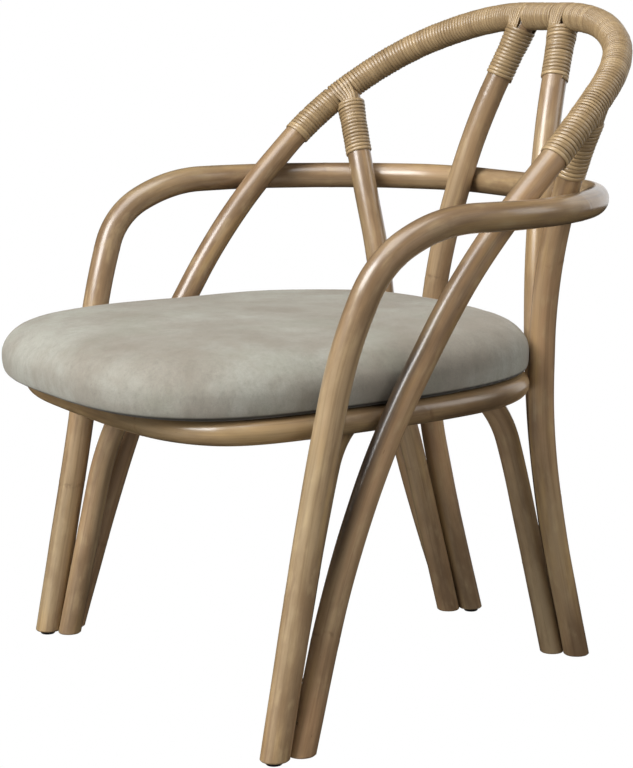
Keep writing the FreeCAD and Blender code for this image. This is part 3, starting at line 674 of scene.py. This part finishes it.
arm_half = corners(ARM_FOOT, ARM_SHARES, ARM_HALF_SPAN, ARM_HEIGHT)
arch_half = corners(ARCH_FOOT, ARCH_SHARES, ARCH_HALF_SPAN, ARCH_HEIGHT)
arm_path = Path(arm_half + mirrored(reversed(arm_half)))
arch_path = Path(arch_half + mirrored(reversed(arch_half)))
outer_top_length = OUTER_TOP_SHARE * arch_path.length
inner_top_length = arch_path.length / 2 - INNER_TOP_OFFSET
outer_top = arch_path.at(outer_top_length)[0]
inner_top = arch_path.at(inner_top_length)[0]
outer_half = corners(OUTER_FOOT, OUTER_SHARES, ARM_HALF_SPAN, ARM_HEIGHT, outer_top)
inner_half = corners(INNER_FOOT, INNER_SHARES, ARM_HALF_SPAN, ARM_HEIGHT, inner_top)
support_half = corners(
    SUPPORT_FRONT_FOOT, SUPPORT_SHARES, ARM_HALF_SPAN, SEAT_HEIGHT, SUPPORT_REAR_FOOT
)

pole(
    "rattan_arm_rail",
    "arm_rail",
    arm_path,
    ARM_RADIUS,
    rattan,
    seed=1,
    tone=0.25,
    stains=ARM_SHADE_SHARES,
)
pole(
    "rattan_back_arch",
    "back_arch",
    arch_path,
    ARCH_RADIUS,
    rattan,
    seed=2,
    tone=0.7,
    stains=ARCH_SHADE_SHARES,
    shadow_side_share=ARCH_SHADOW_SIDE_SHARE,
)
spindle_paths = {}
for number, (kind, half) in enumerate((("outer", outer_half), ("inner", inner_half))):
    for is_left, side in enumerate(("right", "left")):
        path = Path(mirrored(half) if is_left else half)
        spindle_paths[kind, side] = path
        pole(
            "rattan_spindle_%s_%s" % (kind, side),
            "spindle_%s_%s" % (kind, side),
            path,
            SPINDLE_RADIUS,
            rattan,
            seed=3 + number * 2 + is_left,
            tone=0.6,
            stains=SPINDLE_SHADE_SHARES,
            tuck=TUCK,
            feet=(True, False),
        )
for is_left, side in enumerate(("right", "left")):
    pole(
        "rattan_support_" + side,
        "seat_support_" + side,
        Path(mirrored(support_half) if is_left else support_half),
        SUPPORT_RADIUS,
        rattan,
        seed=7 + is_left,
        tone=0.5,
        stains=SUPPORT_SHADE_SHARES,
    )

# Seat ring and pad


def seat_point(x, y, z):
    """Seat frame to chair frame."""
    cosine, sine = math.cos(SEAT_TILT), math.sin(SEAT_TILT)
    return np.stack([x, y * cosine - z * sine, y * sine + z * cosine + SEAT_HEIGHT], axis=-1)


def seat_local(points):
    """Chair frame back to seat frame."""
    cosine, sine = math.cos(SEAT_TILT), math.sin(SEAT_TILT)
    y, z = points[:, 1], points[:, 2] - SEAT_HEIGHT
    return np.stack([points[:, 0], y * cosine + z * sine, z * cosine - y * sine], axis=-1)


def superellipse(turns, half_width, waist, front, rear, exponent):
    cosine, sine = np.cos(turns), np.sin(turns)
    depth = np.where(sine > 0, rear, front)
    x = half_width * np.sign(cosine) * np.abs(cosine) ** (2 / exponent)
    y = waist + depth * np.sign(sine) * np.abs(sine) ** (2 / exponent)
    return x, y


def even_turns(count, shape):
    """Parameters that space points evenly round an outline."""
    fine = np.linspace(0.0, 2 * math.pi, OUTLINE_STEPS)
    x, y = superellipse(fine, *shape)
    lengths = np.r_[0.0, np.cumsum(np.hypot(np.diff(x), np.diff(y)))]
    return np.interp(np.linspace(0.0, lengths[-1], count, endpoint=False), lengths, fine)


ring_x, ring_y = superellipse(even_turns(RING_POINTS, RING_SHAPE), *RING_SHAPE)
ring_line = [Vector(tuple(p)) for p in seat_point(ring_x, ring_y, np.zeros_like(ring_x))]
pole(
    "rattan_seat_ring",
    "seat_ring",
    Path(ring_line, closed=True),
    RING_RADIUS,
    pale_rattan,
    seed=9,
    tone=0.6,
    stains=RING_SHADE_SHARES,
    feet=(False, False),
)

PAD_COLUMNS = 288
PAD_ROWS = 64
PAD_ROW_WEIGHT = 3
PAD_START_INSET = 0.6 * MM
PAD_START_DROP = 2.6 * MM
PAD_VOXEL = 4.8 * MM
PAD_CAP = 2.6 * MM
PAD_SINK_SHARE = 0.4
PAD_SOFTNESS = 9.0 * MM
PAD_EASING = 10
PAD_PRESSURE = 4.0
PAD_FRAMES = 20
PAD_LUMP = 1.3 * MM
PAD_LUMP_SCALE = (9.0, 9.0, 12.0)
PAD_ROW_EASING = 2
LEAST_SIZE = 1e-9


def pad_profile():
    """Smooth rows of (share, rise) up the pad: share 0 to 1 below the widest, 1 to 2 above."""
    table = np.array([*LOWER_SHARES, *((2 - share, rise) for share, rise in UPPER_SHARES)])
    runs = np.hypot(np.diff(table[:, 0]) * PAD_ROW_WEIGHT, np.diff(table[:, 1]))
    steps = np.r_[0.0, np.cumsum(runs)]
    fine = np.linspace(0.0, steps[-1], PAD_ROWS)
    rows = []
    for k in (0, 1):
        values = np.interp(fine, steps, table[:, k])
        for _ in range(PAD_ROW_EASING):
            middle = (values[:-2] + 2 * values[1:-1] + values[2:]) / 4
            values = np.r_[values[0], middle, values[-1]]
        rows.append(values)
    return np.stack(rows, axis=-1)


def pad_rows():
    """Outlines up the pad, from its base to its crown, a little inside the full ones."""
    turns = even_turns(PAD_COLUMNS, PAD_SHAPE)
    base, full = np.array(BASE_SHAPE), np.array(PAD_SHAPE)
    inset = np.array((PAD_START_INSET, 0.0, PAD_START_INSET, PAD_START_INSET, 0.0))
    rows = []
    for share, rise in pad_profile():
        x, y = superellipse(turns, *(base + (full - base) * min(share, 1.0) - inset))
        if share > 1:
            x = x * (2 - share)
            y = PAD_WAIST + (y - PAD_WAIST) * (2 - share)
        height = PAD_FLOOR + (PAD_THICKNESS - PAD_START_DROP) * rise
        rows.append((x, y, np.full(PAD_COLUMNS, height)))
    return rows


def evaluated(source):
    """Mesh of an object with its modifiers applied."""
    graph = bpy.context.evaluated_depsgraph_get()
    return bpy.data.meshes.new_from_object(source.evaluated_get(graph))


def vertex_values(mesh, key):
    found = np.empty(len(mesh.vertices) * 3)
    mesh.vertices.foreach_get(key, found)
    return found.reshape(-1, 3)


def swollen(piece):
    """Cloth blown up from inside, each point moved along its normal and no further than a cap."""
    start = vertex_values(piece.data, "co")
    normals = vertex_values(piece.data, "normal")
    cloth = piece.modifiers.new("cloth", "CLOTH")
    cloth.settings.quality = 5
    cloth.settings.use_pressure = True
    cloth.settings.uniform_pressure_force = PAD_PRESSURE
    cloth.settings.effector_weights.gravity = 0.0
    cloth.settings.tension_stiffness = 12.0
    cloth.settings.bending_stiffness = 0.4
    cloth.collision_settings.use_collision = False
    cloth.point_cache.frame_start = 1
    cloth.point_cache.frame_end = PAD_FRAMES
    scene = bpy.context.scene
    for step in range(1, PAD_FRAMES + 1):
        scene.frame_set(step)
    end = vertex_values(evaluated(piece), "co")
    piece.modifiers.remove(cloth)
    scene.frame_set(1)
    move = ((end - start) * normals).sum(axis=1)
    move = PAD_CAP * np.tanh(np.maximum(move, -PAD_CAP * PAD_SINK_SHARE) / PAD_SOFTNESS)
    edges = np.empty(len(piece.data.edges) * 2, dtype=np.int64)
    piece.data.edges.foreach_get("vertices", edges)
    first, second = edges.reshape(-1, 2).T
    shared = np.bincount(first, minlength=len(start)) + np.bincount(second, minlength=len(start))
    for _ in range(PAD_EASING):
        around = np.bincount(first, move[second], len(start))
        around += np.bincount(second, move[first], len(start))
        move = (move + around / shared) / 2
    return start + normals * move[:, None]


def seat_pad():
    """The pad: a closed crowned form, swollen as cloth and held inside its full outline."""
    rows = pad_rows()
    verts = np.vstack([seat_point(*row) for row in rows])
    faces = grid_faces(len(rows), PAD_COLUMNS)
    top = (len(rows) - 1) * PAD_COLUMNS
    for first in (0, top):
        verts = np.vstack([verts, verts[first : first + PAD_COLUMNS].mean(axis=0)])
        last = len(verts) - 1
        for column in range(PAD_COLUMNS):
            face = (first + column, first + (column + 1) % PAD_COLUMNS, last)
            faces.append(face if first else face[::-1])
    made = mesh_object("suede_seat_pad", verts, faces)
    remesh = made.modifiers.new("remesh", "REMESH")
    remesh.mode = "VOXEL"
    remesh.voxel_size = PAD_VOXEL
    made.data = evaluated(made)
    made.modifiers.clear()
    local = seat_local(swollen(made))
    lumps = np.array([noise.noise(Vector(tuple(p * PAD_LUMP_SCALE))) for p in local])
    local[:, 2] += lumps * PAD_LUMP * np.clip((local[:, 2] - PAD_FLOOR) / PAD_THICKNESS, 0.0, 1.0)
    # brought back to its full outline, and held between the seat ring and the poles beside it
    across, along = local[:, 0], local[:, 1] - PAD_WAIST
    across = across * PAD_HALF_WIDTH / np.abs(across).max()
    along = along * np.where(along > 0, PAD_REAR / along.max(), -PAD_FRONT / along.min())
    depth = np.where(along > 0, PAD_REAR, PAD_FRONT)
    size = np.abs(across / PAD_HALF_WIDTH) ** PAD_EXPONENT + np.abs(along / depth) ** PAD_EXPONENT
    scale = np.minimum(1.0, np.maximum(size, LEAST_SIZE) ** (-1 / PAD_EXPONENT))
    height = np.maximum(local[:, 2], PAD_FLOOR)
    points = seat_point(across * scale, PAD_WAIST + along * scale, height)
    made.data.vertices.foreach_set("co", points.ravel())
    smoothed(made.data)
    finer = made.modifiers.new("finer", "SUBSURF")
    finer.levels = 1
    finer.render_levels = 1
    finish_piece(made, "seat_fabric", suede, "seat_cover", "seat_foam")


LINING_COLUMNS = 160
LINING_ROWS = 23
LINING_INSET = 33.5 * MM
LINING_DROP = 0.6 * MM
LINING_SAG = 0.35 * MM
LINING_RIPPLE = 0.2 * MM
LINING_RIPPLE_SCALE = 22
LINING_THICKNESS = 0.5 * MM


def seat_lining():
    """Black lining stretched under the board, sagging a little between its staples."""
    x, y = superellipse(even_turns(LINING_COLUMNS, BASE_SHAPE), *BASE_SHAPE)
    inner = 1 - LINING_INSET / np.hypot(x, y - BASE_WAIST)
    verts = []
    for share in np.linspace(1.0, 0.0, LINING_ROWS + 1)[:-1]:
        row_x, row_y = x * (inner * share), BASE_WAIST + (y - BASE_WAIST) * (inner * share)
        places = zip(row_x * LINING_RIPPLE_SCALE, row_y * LINING_RIPPLE_SCALE)
        ripple = np.array([noise.noise(Vector((*place, 2.0))) for place in places])
        sag = LINING_DROP + LINING_SAG * math.sin(math.pi * share)
        verts.append(seat_point(row_x, row_y, PAD_FLOOR - sag + ripple * LINING_RIPPLE))
    verts = np.vstack(verts)
    middle = len(verts)
    top = middle - LINING_COLUMNS
    verts = np.vstack([verts, verts[top:].mean(axis=0)])
    faces = grid_faces(LINING_ROWS, LINING_COLUMNS)
    for column in range(LINING_COLUMNS):
        faces.append((top + column, top + (column + 1) % LINING_COLUMNS, middle))
    made = mesh_object("lining_under_pad", verts, faces)
    thicken = made.modifiers.new("thickness", "SOLIDIFY")
    thicken.thickness = LINING_THICKNESS
    thicken.offset = 0.0
    finish_piece(made, "dust_cover", lining, "seat_dust_cover")


seat_pad()
seat_lining()

# Cane

CANE_WIDTH = 4.6 * MM
CANE_THICK = 1.9 * MM
CANE_PITCH = 4.6 * MM
TURN_SEGMENTS = 22
WIND_UNEVEN = 0.20 * MM
WIND_PROUD = 0.13 * MM
WIND_CLEARANCE = 0.1 * MM
HALF_SECTION_SHARES = ((0.0, 1.0), (0.40, 0.95), (0.74, 0.80), (0.94, 0.56), (1.0, 0.30), (1.0, 0.0))
OTHER_HALF_SHARES = [(-x, y) for x, y in reversed(HALF_SECTION_SHARES[1:])]
SECTION_SHARES = np.array([*OTHER_HALF_SHARES, *HALF_SECTION_SHARES])
CANE_TONES = (0.0, 0.75)
GRAIN_STARTS = (0.0, 9.0)
START_ANGLES = (0.0, 6.0)
PALE_AT_START = 2
PALE_AT_END = 4


def strip_mesh(points, outs, width, thick, shade, start_length):
    """Half-round strip along points, with its back towards the pole."""
    count, columns = len(points), len(SECTION_SHARES)
    ways = unit(np.gradient(points, axis=0))
    outs = unit(outs - ways * (outs * ways).sum(axis=1)[:, None])
    acrosses = np.cross(ways, outs)
    side = np.tile(SECTION_SHARES[:, 0] * width / 2, (count, 1))
    rise = np.tile(SECTION_SHARES[:, 1] * thick, (count, 1))
    verts = points[:, None, :] + side[..., None] * acrosses[:, None, :]
    verts = verts + rise[..., None] * outs[:, None, :]
    lengths = np.repeat(lengths_along(points)[:, None] + start_length, columns, axis=1)
    faces = grid_faces(count, columns, wrap_columns=False)
    for row in range(count - 1):
        first = row * columns
        faces.append((first, first + columns, first + 2 * columns - 1, first + columns - 1))
    faces.append(tuple(range(columns)))
    faces.append(tuple(range(count * columns - 1, (count - 1) * columns - 1, -1)))
    values = {
        "cane": np.stack([side, rise, lengths], axis=-1).reshape(-1, 3),
        "turn": np.repeat(shade, columns),
        # place across the strip, which darkens its edges as painted shade in the grooves between turns
        "strip_edge_shade": np.tile(np.abs(SECTION_SHARES[:, 0]), count),
    }
    return verts.reshape(-1, 3), faces, values


class Bundle:
    """Several strips of cane gathered into one piece."""

    def __init__(self):
        self.verts, self.faces, self.values = [], [], []
        self.count = 0

    def add(self, points, outs, width, thick, shade):
        start_length = rng.uniform(*GRAIN_STARTS)
        verts, faces, values = strip_mesh(points, outs, width, thick, shade, start_length)
        self.verts.append(verts)
        self.faces += [tuple(i + self.count for i in face) for face in faces]
        self.values.append(values)
        self.count += len(verts)

    def build(self, name, node):
        values = {key: np.concatenate([v[key] for v in self.values]) for key in self.values[0]}
        made = mesh_object(name, np.vstack(self.verts), self.faces, **values)
        finish_piece(made, "cane_binding", cane, node)


def wind(bundle, path, start, end, radius, swell=None, phase=0.0, pale=(False, False)):
    """Cane wound round a path between two lengths, each turn a little uneven."""
    turns = max(int(round((end - start) / CANE_PITCH)), 1)
    steps = np.arange(turns * TURN_SEGMENTS + 1) / TURN_SEGMENTS
    knots = np.arange(turns + 3)
    uneven = np.interp(steps, knots, rng.normal(0.0, WIND_UNEVEN, len(knots)))
    proud = np.interp(steps, knots, rng.normal(0.0, WIND_PROUD, len(knots)))
    tones = rng.uniform(*CANE_TONES, len(knots))
    if pale[0]:
        tones[:PALE_AT_START] = 1.0
    if pale[1]:
        tones[-PALE_AT_END:] = 1.0
    shade = np.interp(steps, knots, tones)
    lengths = np.clip(start + steps * (end - start) / turns + uneven, start, end)
    points, _, across, other = path.at(lengths)
    angles = 2 * math.pi * steps + phase
    outs = np.cos(angles)[:, None] * across + np.sin(angles)[:, None] * other
    reach = radius + WIND_CLEARANCE + proud
    if swell is not None:
        reach = reach + swell(lengths)
    bundle.add(points + outs * reach[:, None], outs, CANE_WIDTH, CANE_THICK, shade)


JOINT_GAP = 13.5 * MM
STRANDS = 6
STRAND_WIDTH = 3.8 * MM
STRAND_THICK = 1.5 * MM
STRAND_REACH = 40.0 * MM
STRAND_HOLD = 16.0 * MM
STRAND_EASE = 3.0 * MM
STRAND_END = 1.0 * MM
STRAND_CLEARANCE = 0.4 * MM
CROSSING_CLEARANCE = 0.5 * MM
SPACING_SHARE = 1.02
NARROW_SHARE = 0.82
WIDE_SHARE = 1.16
STEM_POINTS = 16
STEM_SPREAD = 2.0
STEM_EASE = 1.6
CROSSING_POINTS = 22
CROSSING_START = 0.05
STRAND_TONES = (0.2, 0.9)


def saddle_frame(length, spindle):
    """Joint, arch direction, the way up square to it, and the spindle's lean along the arch."""
    joint, way, _, _ = arch_path.at(length)
    way = unit(way)
    up = unit(joint - spindle.at(spindle.length - STRAND_REACH)[0])
    square = unit(up - way * up.dot(way))
    return joint, way, square, up.dot(way) / up.dot(square)


def saddle(bundle, length, spindle):
    """Strands that run up a spindle, over the arch and down its other face."""
    joint, way, square, lean = saddle_frame(length, spindle)
    face = np.cross(way, square)
    top = ARCH_RADIUS + CROSSING_CLEARANCE
    for number in range(STRANDS):
        place = (number - (STRANDS - 1) / 2) * STRAND_WIDTH * SPACING_SHARE
        narrow, wide = place * NARROW_SHARE, place * WIDE_SHARE
        depth = math.sqrt(max(SPINDLE_RADIUS**2 - narrow**2, 0.0)) + STRAND_CLEARANCE

        def stem(height, sign):
            left = -height / STRAND_REACH
            side = narrow + (wide - narrow) * max(1 - STEM_SPREAD * left, 0.0)
            front = depth + (top - depth) * max(1 - STEM_EASE * left, 0.0)
            bend = math.hypot(height + STRAND_HOLD, STRAND_EASE)
            slide = lean * (height - bend - STRAND_HOLD) / 2
            out = face * sign + way * side / SPINDLE_RADIUS * left
            return joint + way * (side + slide) + square * height + face * sign * front, out

        rise = np.linspace(-STRAND_REACH, -STRAND_END, STEM_POINTS)
        line = [stem(height, 1) for height in rise]
        middle = joint + way * (wide - lean * STRAND_HOLD)
        for angle in np.linspace(CROSSING_START, math.pi - CROSSING_START, CROSSING_POINTS):
            out = face * math.cos(angle) + square * math.sin(angle)
            line.append((middle + out * top, out))
        line += [stem(height, -1) for height in rise[::-1]]
        shade = np.full(len(line), rng.uniform(*STRAND_TONES))
        points, outs = (np.array(values) for values in zip(*line))
        bundle.add(points, outs, STRAND_WIDTH, STRAND_THICK, shade)


# Lengths along the arch at which the spindles end, and at which their strands cross it

BINDING_END_SHARE = 0.313
full = arch_path.length
tops = {
    ("outer", "right"): outer_top_length,
    ("inner", "right"): inner_top_length,
    ("inner", "left"): full - inner_top_length,
    ("outer", "left"): full - outer_top_length,
}
ends = [BINDING_END_SHARE * full]
for key, length in tops.items():
    ends.append(length - saddle_frame(length, spindle_paths[key])[3] * STRAND_HOLD)
ends.append(full - BINDING_END_SHARE * full)
for number, name in enumerate(("end_right", "long_right", "middle", "long_left", "end_left")):
    first, last = number == 0, number == 4
    start = ends[number] + (0.0 if first else JOINT_GAP)
    stop = ends[number + 1] - (0.0 if last else JOINT_GAP)
    bundle = Bundle()
    turn = rng.uniform(*START_ANGLES)
    wind(bundle, arch_path, start, stop, ARCH_RADIUS, phase=turn, pale=(first, last))
    bundle.build("cane_arch_" + name, "binding_arch_" + name)

# Lengths from a spindle's top down to both ends of its binding, which swells over the strands

BINDING_STARTS = {"outer": 89.0 * MM, "inner": 81.5 * MM}
BINDING_STOPS = {"outer": 20.0 * MM, "inner": 18.5 * MM}
SWELL = 1.4 * MM
SWELL_SPAN = 20.0 * MM
SWELL_DELAY = 14.0 * MM
for (kind, side), length in tops.items():
    path = spindle_paths[kind, side]
    bundle = Bundle()
    saddle(bundle, length, path)

    def swell(lengths, near=path.length - STRAND_REACH + SWELL_DELAY):
        return SWELL * np.clip(1 + (lengths - near) / SWELL_SPAN, 0.0, 1.0)

    start, stop = path.length - BINDING_STARTS[kind], path.length - BINDING_STOPS[kind]
    turn = rng.uniform(*START_ANGLES)
    wind(bundle, path, start, stop, SPINDLE_RADIUS, swell, phase=turn, pale=(True, False))
    bundle.build("cane_%s_%s" % (kind, side), "binding_%s_%s" % (kind, side))

# CAD pieces that keep their shape

ply = plain_wood_material("ply", srgb(196, 168, 128), srgb(160, 128, 88))
dowel = plain_wood_material("dowel", srgb(200, 172, 130), srgb(168, 136, 96))
kept = (
    (glide_material(), [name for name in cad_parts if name.startswith("glide_")]),
    (screw_material(), ["frame_screws", "board_screws"]),
    (ply, ["seat_board"]),
    (dowel, ["spindle_pegs"]),
)
for material, names in kept:
    for name in names:
        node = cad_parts[name]
        node.data.materials.clear()
        node.data.materials.append(material)

# Studio: a white surround and floor that only the camera sees, dim light all round and soft boxes

SURROUND_RADIUS = 12.0
FLOOR_HALF_SPAN = 6.0
FLOOR_DROP = 1.0 * MM
SKY_REACH = 0.6
SKY_BELOW = 0.20
SKY_ABOVE = 0.37
LAMP_TARGET = Vector((0.0, 0.0, 0.4))

# Soft boxes: azimuth, elevation, distance, size, watts and whether highlights show them

LAMPS = {
    "key": (9.0, 37.0, 3.0, (1.6, 1.5), 95.0, True),
    "top": (35.0, 72.0, 2.6, (2.0, 1.8), 42.0, True),
    "side": (106.0, 14.0, 3.2, (1.4, 1.8), 18.0, False),
    "rim": (142.0, 26.0, 3.2, (1.4, 1.6), 16.0, True),
    "back": (204.0, 14.0, 3.4, (3.0, 2.4), 20.0, True),
    "bounce": (84.0, -42.0, 2.6, (2.4, 2.4), 5.0, False),
    "low_front": (2.0, -20.0, 1.7, (1.8, 1.0), 12.0, False),
}


def studio_piece(name, nodes, surface):
    """The object just added, seen by the camera alone."""
    piece = bpy.context.object
    piece.name = name
    nodes.feed(nodes.tree.nodes["Material Output"].inputs["Surface"], surface)
    piece.data.materials.append(nodes.owner)
    piece.visible_diffuse = False
    piece.visible_glossy = False
    piece.visible_transmission = False
    piece.visible_shadow = False


bpy.ops.mesh.primitive_uv_sphere_add(segments=48, ring_count=24, radius=SURROUND_RADIUS)
paper = material_nodes("studio_white")
studio_piece("studio_surround", paper, paper.node("ShaderNodeEmission", "Emission"))

# white from above and clear from below, so that the underside of the chair can be looked at
bpy.ops.mesh.primitive_plane_add(size=2 * FLOOR_HALF_SPAN, location=(0.0, 0.0, -FLOOR_DROP))
ground = material_nodes("studio_floor")
two_sided = {
    "Fac": ground.node("ShaderNodeNewGeometry", "Backfacing"),
    1: ground.node("ShaderNodeEmission", "Emission"),
    2: ground.node("ShaderNodeBsdfTransparent", "BSDF"),
}
studio_piece("studio_floor", ground, ground.node("ShaderNodeMixShader", "Shader", two_sided))

scene = bpy.context.scene
world = scene.world or bpy.data.worlds.new("studio")
scene.world = world
sky = Nodes(world)
upward = sky.node("ShaderNodeTexCoord", "Generated")
upward = sky.node("ShaderNodeSeparateXYZ", "Z", {"Vector": upward})
strength = sky.ramp(upward, -SKY_REACH, SKY_REACH, SKY_BELOW, SKY_ABOVE, curve="LINEAR")
background = sky.tree.nodes["Background"]
sky.feed(background.inputs["Strength"], strength)
sky.feed(background.inputs["Color"], (1.0, 1.0, 1.0, 1.0))
world.cycles_visibility.glossy = False


def bearing(azimuth, elevation):
    """Direction from the chair at angles in radians, azimuth from its front."""
    flat = math.cos(elevation)
    return Vector((math.sin(azimuth) * flat, -math.cos(azimuth) * flat, math.sin(elevation)))


for name, (azimuth, elevation, distance, size, watts, shows) in LAMPS.items():
    way = bearing(math.radians(azimuth), math.radians(elevation))
    light = bpy.data.lights.new(name, "AREA")
    light.shape = "RECTANGLE"
    light.size, light.size_y = size
    light.energy = watts
    lamp = bpy.data.objects.new(name, light)
    lamp.location = LAMP_TARGET + way * distance
    lamp.rotation_euler = (-way).to_track_quat("-Z", "Y").to_euler()
    lamp.visible_glossy = shows
    scene.collection.objects.link(lamp)

scene.view_settings.view_transform = "Standard"

# Camera: its place, its azimuth, elevation and roll in degrees, its lens and sensor in millimetres

CAMERA_PLACE = Vector((2.3446, -1.3422, 0.7987))
CAMERA_TURNS = (60.156, 9.592, -0.430)
CAMERA_LENS = 108.8
CAMERA_SENSOR = 36.0

azimuth, elevation, roll = (math.radians(turn) for turn in CAMERA_TURNS)
back = bearing(azimuth, elevation)
level = Vector((math.cos(azimuth), math.sin(azimuth), 0.0))
upright = back.cross(level)
across = level * math.cos(roll) + upright * math.sin(roll)
upwards = upright * math.cos(roll) - level * math.sin(roll)
camera_data = bpy.data.cameras.new("camera")
camera_data.lens = CAMERA_LENS
camera_data.sensor_width = CAMERA_SENSOR
camera_data.sensor_fit = "AUTO"
camera = bpy.data.objects.new("camera", camera_data)
turned = Matrix((across, upwards, back)).transposed()
camera.matrix_world = Matrix.Translation(CAMERA_PLACE) @ turned.to_4x4()
scene.collection.objects.link(camera)
scene.camera = camera
